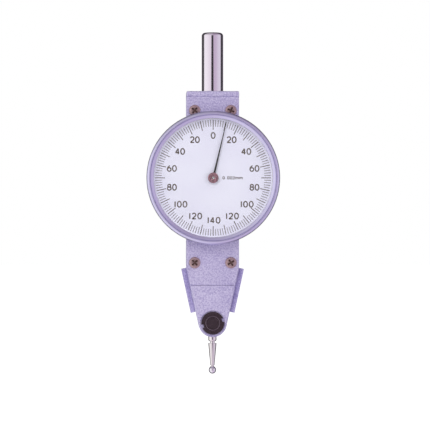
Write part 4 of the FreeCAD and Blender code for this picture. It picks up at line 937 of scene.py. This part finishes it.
class Figure(Enum):
    """The dial's characters as strokes, each in a box one wide and one high about its middle."""

    ZERO = "0"
    ONE = "1"
    TWO = "2"
    FOUR = "4"
    SIX = "6"
    EIGHT = "8"
    POINT = "."
    LETTER_M = "m"

    @staticmethod
    def arc(x: float, y: float, wide: float, high: float, start: float, end: float) -> Outline:
        """Gives points on an ellipse's arc, its angles in degrees, counted from the right."""
        count = max(3, round(abs(end - start) / 15))
        angles = [math.radians(start + (end - start) * i / count) for i in range(count + 1)]
        return [(x + wide * math.cos(a), y + high * math.sin(a)) for a in angles]

    def strokes(self) -> list[Outline]:
        """Gives the figure's strokes, each a list of points."""
        if self is Figure.ZERO:
            return [self.arc(0, 0, 0.5, 0.5, 90, 450)]
        if self is Figure.ONE:
            return [[(0, 0.5), (0, -0.5)]]
        if self is Figure.TWO:
            head = self.arc(0, 0.2, 0.46, 0.3, 165, -35)
            return [head + [(-0.48, -0.5)], [(-0.48, -0.5), (0.5, -0.5)]]
        if self is Figure.FOUR:
            top, elbow = (0.2, 0.5), (-0.52, -0.22)
            return [[(0.2, -0.5), top], [top, elbow], [elbow, (0.5, -0.22)]]
        if self is Figure.SIX:
            bowl = self.arc(0, -0.19, 0.48, 0.31, 165, 525)
            return [bowl, [(0.16, 0.5)] + self.arc(0.3, -0.12, 0.78, 0.55, 130, 180)]
        if self is Figure.POINT:
            return [[(-0.08, -0.46), (0.08, -0.46)]]
        if self is Figure.LETTER_M:
            half = 0.25
            arches = [
                self.arc(x, 0.0, half, 0.2, 180, 0) + [(x + half, -0.5)] for x in (-half, half)
            ]
            return [[(-0.5, -0.5), (-0.5, 0.2)]] + arches
        return [self.arc(0, 0.26, 0.38, 0.24, -90, 270), self.arc(0, -0.22, 0.48, 0.28, 90, 450)]


@dataclass
class Dial:
    """The enamelled dial with its printed scale, figures and unit mark."""

    divisions: int = 140
    label_every: int = 10
    long_every: int = 5
    label_step: int = 20
    tick_outer: float = 15.86
    tick_inner: float = 14.05
    long_inner: float = 13.2
    tick_width: float = 0.14
    long_width: float = 0.21
    figure_radius: float = 11.6
    figure_height: float = 1.55
    figure_width: float = 1.02
    figure_stroke: float = 0.33
    ink_height: float = 0.012
    pair_pitch: float = 1.42
    triple_pitch: float = 1.55
    narrow_pitch: float = 1.15
    unit_centre: float = 5.3
    unit_height: float = 0.72
    unit_width: float = 0.48
    unit_stroke: float = 0.19
    unit_pitch: float = 0.75
    unit_letter: float = 1.7

    @property
    def centre(self) -> Vector:
        """Gives the dial's centre on its enamelled face, in millimetres."""
        low, high = (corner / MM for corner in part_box("dial_face"))
        return Vector((0.0, low.y, (low.z + high.z) / 2))

    def graduation(self) -> bpy.types.Object:
        """Prints the lines of the scale, the long ones every fifth."""
        vertices: list[Vector] = []
        faces: list[tuple[int, ...]] = []
        for number in range(self.divisions):
            long = number % self.long_every == 0
            inner = self.long_inner if long else self.tick_inner
            half = (self.long_width if long else self.tick_width) / 2
            turn = Matrix.Rotation(2 * math.pi * number / self.divisions, 3, "Y")
            first = len(vertices)
            for depth in (0.0, -self.ink_height):
                outer = self.tick_outer
                for x, z in ((-half, inner), (half, inner), (half, outer), (-half, outer)):
                    vertices.append(self.centre + turn @ Vector((x, depth, z)))
            faces.append(tuple(first + i for i in (4, 5, 6, 7)))
            faces.append(tuple(first + i for i in (3, 2, 1, 0)))
            for i in range(4):
                j = (i + 1) % 4
                faces.append((first + i, first + j, first + j + 4, first + i + 4))
        return mesh_piece("dial_graduation", vertices, faces, DIAL_INK)

    def written(self, name: str, strokes: Sequence[Outline], width: float) -> bpy.types.Object:
        """Prints strokes on the dial as a low rounded line of ink.

        Args:
            name: the piece's name.
            strokes: the lines' points, across and up from the dial's centre.
            width: the lines' width.

        Returns:
            The print, as a mesh.
        """
        curve = bpy.data.curves.new(name, "CURVE")
        curve.dimensions = "3D"
        curve.bevel_depth = width / 2 * MM
        curve.bevel_resolution = 2
        curve.use_fill_caps = True
        for stroke in strokes:
            ring = math.dist(stroke[0], stroke[-1]) < 1e-6
            points = stroke[:-1] if ring else stroke
            spline = curve.splines.new("POLY")
            spline.points.add(len(points) - 1)
            spline.use_cyclic_u = ring
            for target, (x, z) in zip(spline.points, points):
                target.co = (x * MM, 0.0, z * MM, 1.0)
        line = bpy.data.objects.new(name, curve)
        bpy.context.scene.collection.objects.link(line)
        bpy.context.view_layer.update()
        mesh = bpy.data.meshes.new_from_object(line)
        bpy.data.objects.remove(line)
        low = Matrix.Scale(2 * self.ink_height / width, 4, Vector((0, 1, 0)))
        mesh.transform(Matrix.Translation(self.centre * MM) @ low)
        smooth(mesh, 60.0)
        mesh.materials.clear()
        mesh.materials.append(DIAL_INK.material())
        printed = bpy.data.objects.new(name, mesh)
        bpy.context.scene.collection.objects.link(printed)
        return printed

    def figure_strokes(self, text: str, centre: tuple[float, float]) -> list[Outline]:
        """Sets a number upright about a point.

        Args:
            text: the number's figures.
            centre: the middle of the number, across and up from the dial's centre.

        Returns:
            The strokes of all its figures.
        """
        pitch = self.pair_pitch if len(text) < 3 else self.triple_pitch
        places = [0.0]
        for one, other in zip(text, text[1:]):
            places.append(places[-1] + (self.narrow_pitch if "1" in (one, other) else pitch))
        middle = (places[0] + places[-1]) / 2
        strokes = []
        for figure, place in zip(text, places):
            for stroke in Figure(figure).strokes():
                strokes.append([
                    (
                        centre[0] + place - middle + x * self.figure_width,
                        centre[1] + z * self.figure_height,
                    )
                    for x, z in stroke
                ])
        return strokes

    def figures(self) -> bpy.types.Object:
        """Prints the numbers of the scale, counted up on both sides from the top."""
        strokes: list[Outline] = []
        labels = self.divisions // self.label_every
        for number in range(labels):
            value = self.label_step * min(number, labels - number)
            angle = 2 * math.pi * number / labels
            place = (self.figure_radius * math.sin(angle), self.figure_radius * math.cos(angle))
            strokes += self.figure_strokes(str(value), place)
        return self.written("dial_figures", strokes, self.figure_stroke)

    def unit_mark(self) -> bpy.types.Object:
        """Prints the value of one division, small, to the right of the hub."""
        text = "0.002mm"
        advances = {Figure.POINT: 0.7, Figure.LETTER_M: 1.4}
        places, reach = [], 0.0
        for figure in map(Figure, text):
            advance = self.unit_pitch * advances.get(figure, 1.0)
            places.append(reach + advance / 2)
            reach += advance
        strokes: list[Outline] = []
        for figure, place in zip(map(Figure, text), places):
            wide = self.unit_width * (self.unit_letter if figure is Figure.LETTER_M else 1.0)
            left = self.unit_centre - reach / 2 + place
            for stroke in figure.strokes():
                strokes.append([(left + x * wide, z * self.unit_height) for x, z in stroke])
        return self.written("dial_unit_mark", strokes, self.unit_stroke)

    def build(self) -> Iterable[bpy.types.Object]:
        """Prints the scale, its numbers and the unit mark on the dial."""
        for printed in (self.graduation(), self.figures(), self.unit_mark()):
            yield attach(printed, "bezel")


@dataclass
class Hand:
    """The hub that presses the pointer on its arbor."""

    groove_radius: float = 0.95
    groove_width: float = 0.16
    groove_depth: float = 0.12
    collar_radius: float = 0.75
    pip_radius: float = 0.38
    pip_height: float = 0.1
    pip_slope: float = 0.05
    slope: float = 0.04
    edge_round: float = 0.14

    def build(self) -> Iterable[bpy.types.Object]:
        """Builds the turned hub."""
        low, high = (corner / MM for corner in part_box("pointer_hub"))
        centre = Vector((0.0, 0.0, (low.z + high.z) / 2))
        radius = high.x
        pointer_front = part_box("pointer")[0].y / MM
        inner = self.groove_radius - self.groove_width
        outline = eased(
            [
                (0.0, low.y), (self.pip_radius, low.y),
                (self.pip_radius + self.pip_slope, low.y + self.pip_height),
                (inner, low.y + self.pip_height),
                (inner + self.slope, low.y + self.groove_depth + self.pip_height),
                (self.groove_radius - self.slope, low.y + self.groove_depth + self.pip_height),
                (self.groove_radius, low.y + self.slope), (radius, low.y + self.slope),
                (radius, pointer_front), (self.collar_radius, pointer_front),
                (self.collar_radius, high.y), (0.0, high.y),
            ],
            {1: self.slope, 7: self.edge_round, 8: self.pip_slope},
        )
        hub = turned("hub_turned", outline, HUB_BRONZE, Turning.DIAL, centre, 72)
        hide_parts("pointer_hub")
        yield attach(hub, "hand")


@dataclass
class Cap:
    """The rounded rim round the dish of the fulcrum's black cap, coloured a lighter grey as a
    painted highlight.
    """

    inner: float = 1.78
    outer: float = 2.04
    proud: float = 0.1
    foot: float = 0.06
    edge_round: float = 0.09

    def build(self) -> Iterable[bpy.types.Object]:
        """Builds the rounded rim."""
        low, high = (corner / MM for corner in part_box("fulcrum_bearing_cap"))
        centre = Vector((0.0, 0.0, (low.z + high.z) / 2))
        front, foot = low.y - self.proud, low.y + self.foot
        outline = eased(
            [(self.inner, foot), (self.inner, front), (self.outer, front), (self.outer, foot)],
            {1: self.edge_round, 2: self.edge_round},
        )
        # Painted highlight: the rim is coloured a lighter grey than the black cap.
        rim = turned(
            "cap_rim_painted_highlight", outline, CAP_RIM_PAINTED_HIGHLIGHT, Turning.DIAL, centre, 72, True, crease=60.0,
        )
        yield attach(rim, "case")


@dataclass
class Stylus:
    """The contact point that screws into the holder, and its lapped ball."""

    neck_radius: float = 0.6
    neck_length: float = 0.45
    body_radius: float = 1.15
    body_land: float = 0.2
    tail_radius: float = 0.6
    tail_drop: float = 6.1
    wire_radius: float = 0.425
    thread_radius: float = 0.5
    braze: float = 0.16
    body_round: float = 0.12
    tail_round: float = 0.1
    tail_step: float = 0.12
    wire_sink: float = 0.05

    def build(self) -> Iterable[bpy.types.Object]:
        """Builds the tapered point and the ball."""
        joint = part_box("stylus_holder")[0].z / MM
        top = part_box("contact_point")[1].z / MM
        ball_low, ball_high = (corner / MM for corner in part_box("contact_ball"))
        radius = (ball_high.x - ball_low.x) / 2
        middle = ball_low.z + radius
        body = joint - self.neck_length
        seat = middle + math.sqrt(radius ** 2 - self.wire_radius ** 2)
        outline = eased(
            [
                (0.0, top), (self.thread_radius, top), (self.thread_radius, joint),
                (self.neck_radius, joint), (self.neck_radius, body), (self.body_radius, body),
                (self.body_radius, body - self.body_land),
                (self.tail_radius, body - self.tail_drop),
                (self.wire_radius, body - self.tail_drop - self.tail_step),
                (self.wire_radius, seat - self.wire_sink), (0.0, seat - self.wire_sink),
            ],
            {5: self.body_round, 7: self.tail_round},
        )
        point = turned(
            "point_tapered", outline, POINT_STEEL, Turning.STEM, Vector((0, 0, 0)), 96,
        )
        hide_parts("contact_point")
        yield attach(point, "stylus")

        start = math.degrees(math.asin((self.wire_radius + self.braze) / radius))
        arc = [math.radians(start + (180 - start) * i / 40) for i in range(41)]
        sphere = [(radius * math.sin(a), middle + radius * math.cos(a)) for a in arc]
        fillet = [(self.wire_radius, sphere[0][1] + self.braze)]
        sphere[-1] = (0.0, ball_low.z)
        ball = turned(
            "ball_lapped", fillet + sphere, CARBIDE, Turning.STEM, Vector((0, 0, 0)), 96,
            crease=60.0,
        )
        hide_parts("contact_ball")
        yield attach(ball, "stylus")


@dataclass
class Studio:
    """The floor, the light tent, its two soft lamps and the camera."""

    distance: float = 700.0
    field: float = 119.15
    sensor: float = 36.0
    yaw: float = -1.5
    aim: tuple[float, float, float] = (0.72, 0.0, -34.12)
    fill: float = 0.60
    floor_gap: float = 0.05
    floor_size: float = 3000.0
    lamp_size: float = 500.0
    key_place: tuple[float, float, float] = (-300.0, -850.0, 350.0)
    key_power: float = 3.3
    fill_place: tuple[float, float, float] = (500.0, -600.0, 150.0)
    fill_power: float = 1.1
    opening_inner: float = 10.625
    opening_outer: float = 14.375
    opening_tilt: float = 1.0
    opening_level: float = 0.04
    band_edges: tuple[float, float, float, float] = (94.0, 104.0, 150.0, 162.0)
    band_level: float = 0.07
    nearest: float = 0.01
    farthest: float = 20.0

    def floor(self) -> None:
        """Lays the paper just under the ball."""
        height = CAD_BOX[0].z / MM - self.floor_gap
        half = self.floor_size / 2
        square = ((-half, -half), (half, -half), (half, half), (-half, half))
        corners = [Vector((x, y, height)) for x, y in square]
        floor = mesh_piece("studio_floor", corners, [(0, 1, 2, 3)], PAPER)
        floor.visible_glossy = False

    def away(self, tree: Tree, direction: Socket, tilt: float) -> Socket:
        """Gives how far a direction lies from the dial's front, as a share of half a turn.

        Args:
            tree: the world's nodes.
            direction: the direction that is asked for.
            tilt: the front's elevation in degrees.

        Returns:
            The share, from 0 in front to 1 behind.
        """
        turn, rise = math.radians(self.yaw), math.radians(tilt)
        front = (math.sin(turn) * math.cos(rise), -math.cos(turn) * math.cos(rise), math.sin(rise))
        along = add_node(
            tree, "ShaderNodeVectorMath", {"operation": "DOT_PRODUCT"}, {1: front},
            {0: direction},
        )
        spread = add_node(
            tree, "ShaderNodeMath", {"operation": "ARCCOSINE"},
            links={0: along.outputs["Value"]},
        )
        share = add_node(
            tree, "ShaderNodeMath", {"operation": "DIVIDE"}, {1: math.pi},
            {0: spread.outputs[0]},
        )
        return share.outputs[0]

    def tent(self) -> None:
        """Makes the world: white for the camera, plain light, and a tent that metal mirrors.

        The tent is dimmer at the right and above, with a black cloth round its rear half and
        the dark opening of the lens in front.
        """
        world = bpy.data.worlds.new("light_tent")
        bpy.context.scene.world = world
        world.use_nodes = True
        tree = world.node_tree
        tree.nodes.clear()
        direction = add_node(tree, "ShaderNodeTexCoord").outputs["Generated"]
        parts = add_node(tree, "ShaderNodeSeparateXYZ", links={0: direction})
        upward, across = (
            add_node(
                tree, "ShaderNodeMapRange", values={"From Min": -1.0, "From Max": 1.0},
                links={"Value": parts.outputs[axis]},
            ).outputs["Result"]
            for axis in ("Z", "X")
        )
        band_start, band_full, band_fade, band_end = (edge / 180 for edge in self.band_edges)
        panels = (
            (upward, (
                (0.0, grey(1.0)), (0.2, grey(1.0)), (0.28, grey(0.85)), (0.42, grey(0.85)),
                (0.5, grey(1.0)), (0.66, grey(0.9)), (0.8, grey(0.6)), (1.0, grey(0.5)),
            )),
            (across, (
                (0.0, grey(1.15)), (0.25, linear("FFFAFF")), (0.46, linear("F6F0FA")),
                (0.54, linear("D6C6DA")), (0.8, linear("DCCEE2")), (1.0, linear("F0ECF8")),
            )),
            (self.away(tree, direction, 0.0), (
                (band_start, grey(1.0)), (band_full, grey(self.band_level)),
                (band_fade, grey(self.band_level)), (band_end, grey(1.0)),
            )),
            (self.away(tree, direction, self.opening_tilt), (
                (0.0, grey(self.opening_level)),
                (self.opening_inner / 180, grey(self.opening_level)),
                (self.opening_outer / 180, grey(1.0)),
            )),
        )
        shades = [
            add_node(tree, "ShaderNodeValToRGB", links={"Fac": share}, stops=stops)
            for share, stops in panels
        ]
        mirrored = shades[0].outputs["Color"]
        for shade in shades[1:]:
            mirrored = add_node(
                tree, "ShaderNodeMix", {"data_type": "RGBA", "blend_type": "MULTIPLY"},
                {0: 1.0}, {6: mirrored, 7: shade.outputs["Color"]},
            ).outputs[2]
        path = add_node(tree, "ShaderNodeLightPath")
        lit = add_node(
            tree, "ShaderNodeMix", {"data_type": "RGBA"}, {6: grey(self.fill)},
            {0: path.outputs["Is Glossy Ray"], 7: mirrored},
        )
        seen = add_node(
            tree, "ShaderNodeMath", {"operation": "MAXIMUM"},
            links={0: path.outputs["Is Camera Ray"], 1: path.outputs["Is Transmission Ray"]},
        )
        whole = add_node(
            tree, "ShaderNodeMix", {"data_type": "RGBA"}, {7: grey(1.0)},
            {0: seen.outputs[0], 6: lit.outputs[2]},
        )
        background = add_node(
            tree, "ShaderNodeBackground", links={"Color": whole.outputs[2]},
        )
        add_node(
            tree, "ShaderNodeOutputWorld", links={"Surface": background.outputs[0]},
        )

    def lamp(self, name: str, place: Vector, power: float) -> None:
        """Hangs a square soft lamp that faces the dial.

        Args:
            name: the lamp's name.
            place: where it hangs, in millimetres.
            power: its power in watts.
        """
        light = bpy.data.lights.new(name, "AREA")
        light.size = self.lamp_size * MM
        light.energy = power
        holder = bpy.data.objects.new(name, light)
        holder.location = place * MM
        towards = Vector(self.aim) - place
        holder.rotation_euler = towards.to_track_quat("-Z", "Y").to_euler()
        holder.visible_glossy = False
        bpy.context.scene.collection.objects.link(holder)

    def camera(self) -> None:
        """Sets the camera at the height of the dial, a little to its left."""
        lens = bpy.data.cameras.new("camera")
        lens.sensor_width = self.sensor
        lens.lens = self.sensor * self.distance / self.field
        lens.clip_start, lens.clip_end = self.nearest, self.farthest
        holder = bpy.data.objects.new("camera", lens)
        angle = math.radians(self.yaw)
        back = Vector((math.sin(angle), -math.cos(angle), 0.0))
        holder.location = (Vector(self.aim) + back * self.distance) * MM
        holder.rotation_euler = (-back).to_track_quat("-Z", "Y").to_euler()
        bpy.context.scene.collection.objects.link(holder)
        bpy.context.scene.camera = holder

    def build(self) -> None:
        """Sets up the whole studio."""
        self.camera()
        self.floor()
        self.tent()
        self.lamp("key_lamp", Vector(self.key_place), self.key_power)
        self.lamp("fill_lamp", Vector(self.fill_place), self.fill_power)
        bpy.context.scene.view_settings.view_transform = "Standard"


def dress_frame() -> None:
    """Gives each node that comes from the CAD model the finish of its material slot."""
    for name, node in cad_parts.items():
        materials = node.data.materials
        for number, plain in enumerate(materials):
            finish = NODE_FINISHES.get(name) or SLOT_FINISHES[plain.name.split(".")[0]]
            materials[number] = finish.material()
            log.info("%s is dressed in %s", name, finish.name)


def main() -> None:
    """Builds each sub-assembly in order, then the studio."""
    logging.basicConfig(level=logging.INFO, format="%(name)s: %(message)s")
    dress_frame()
    for group in (Stem(), Casework(), Bezel(), Dial(), Hand(), Cap(), Stylus()):
        for piece in group.build():
            log.info("%s made %s", type(group).__name__, piece.name)
    Studio().build()


if __name__ == "__main__":
    main()
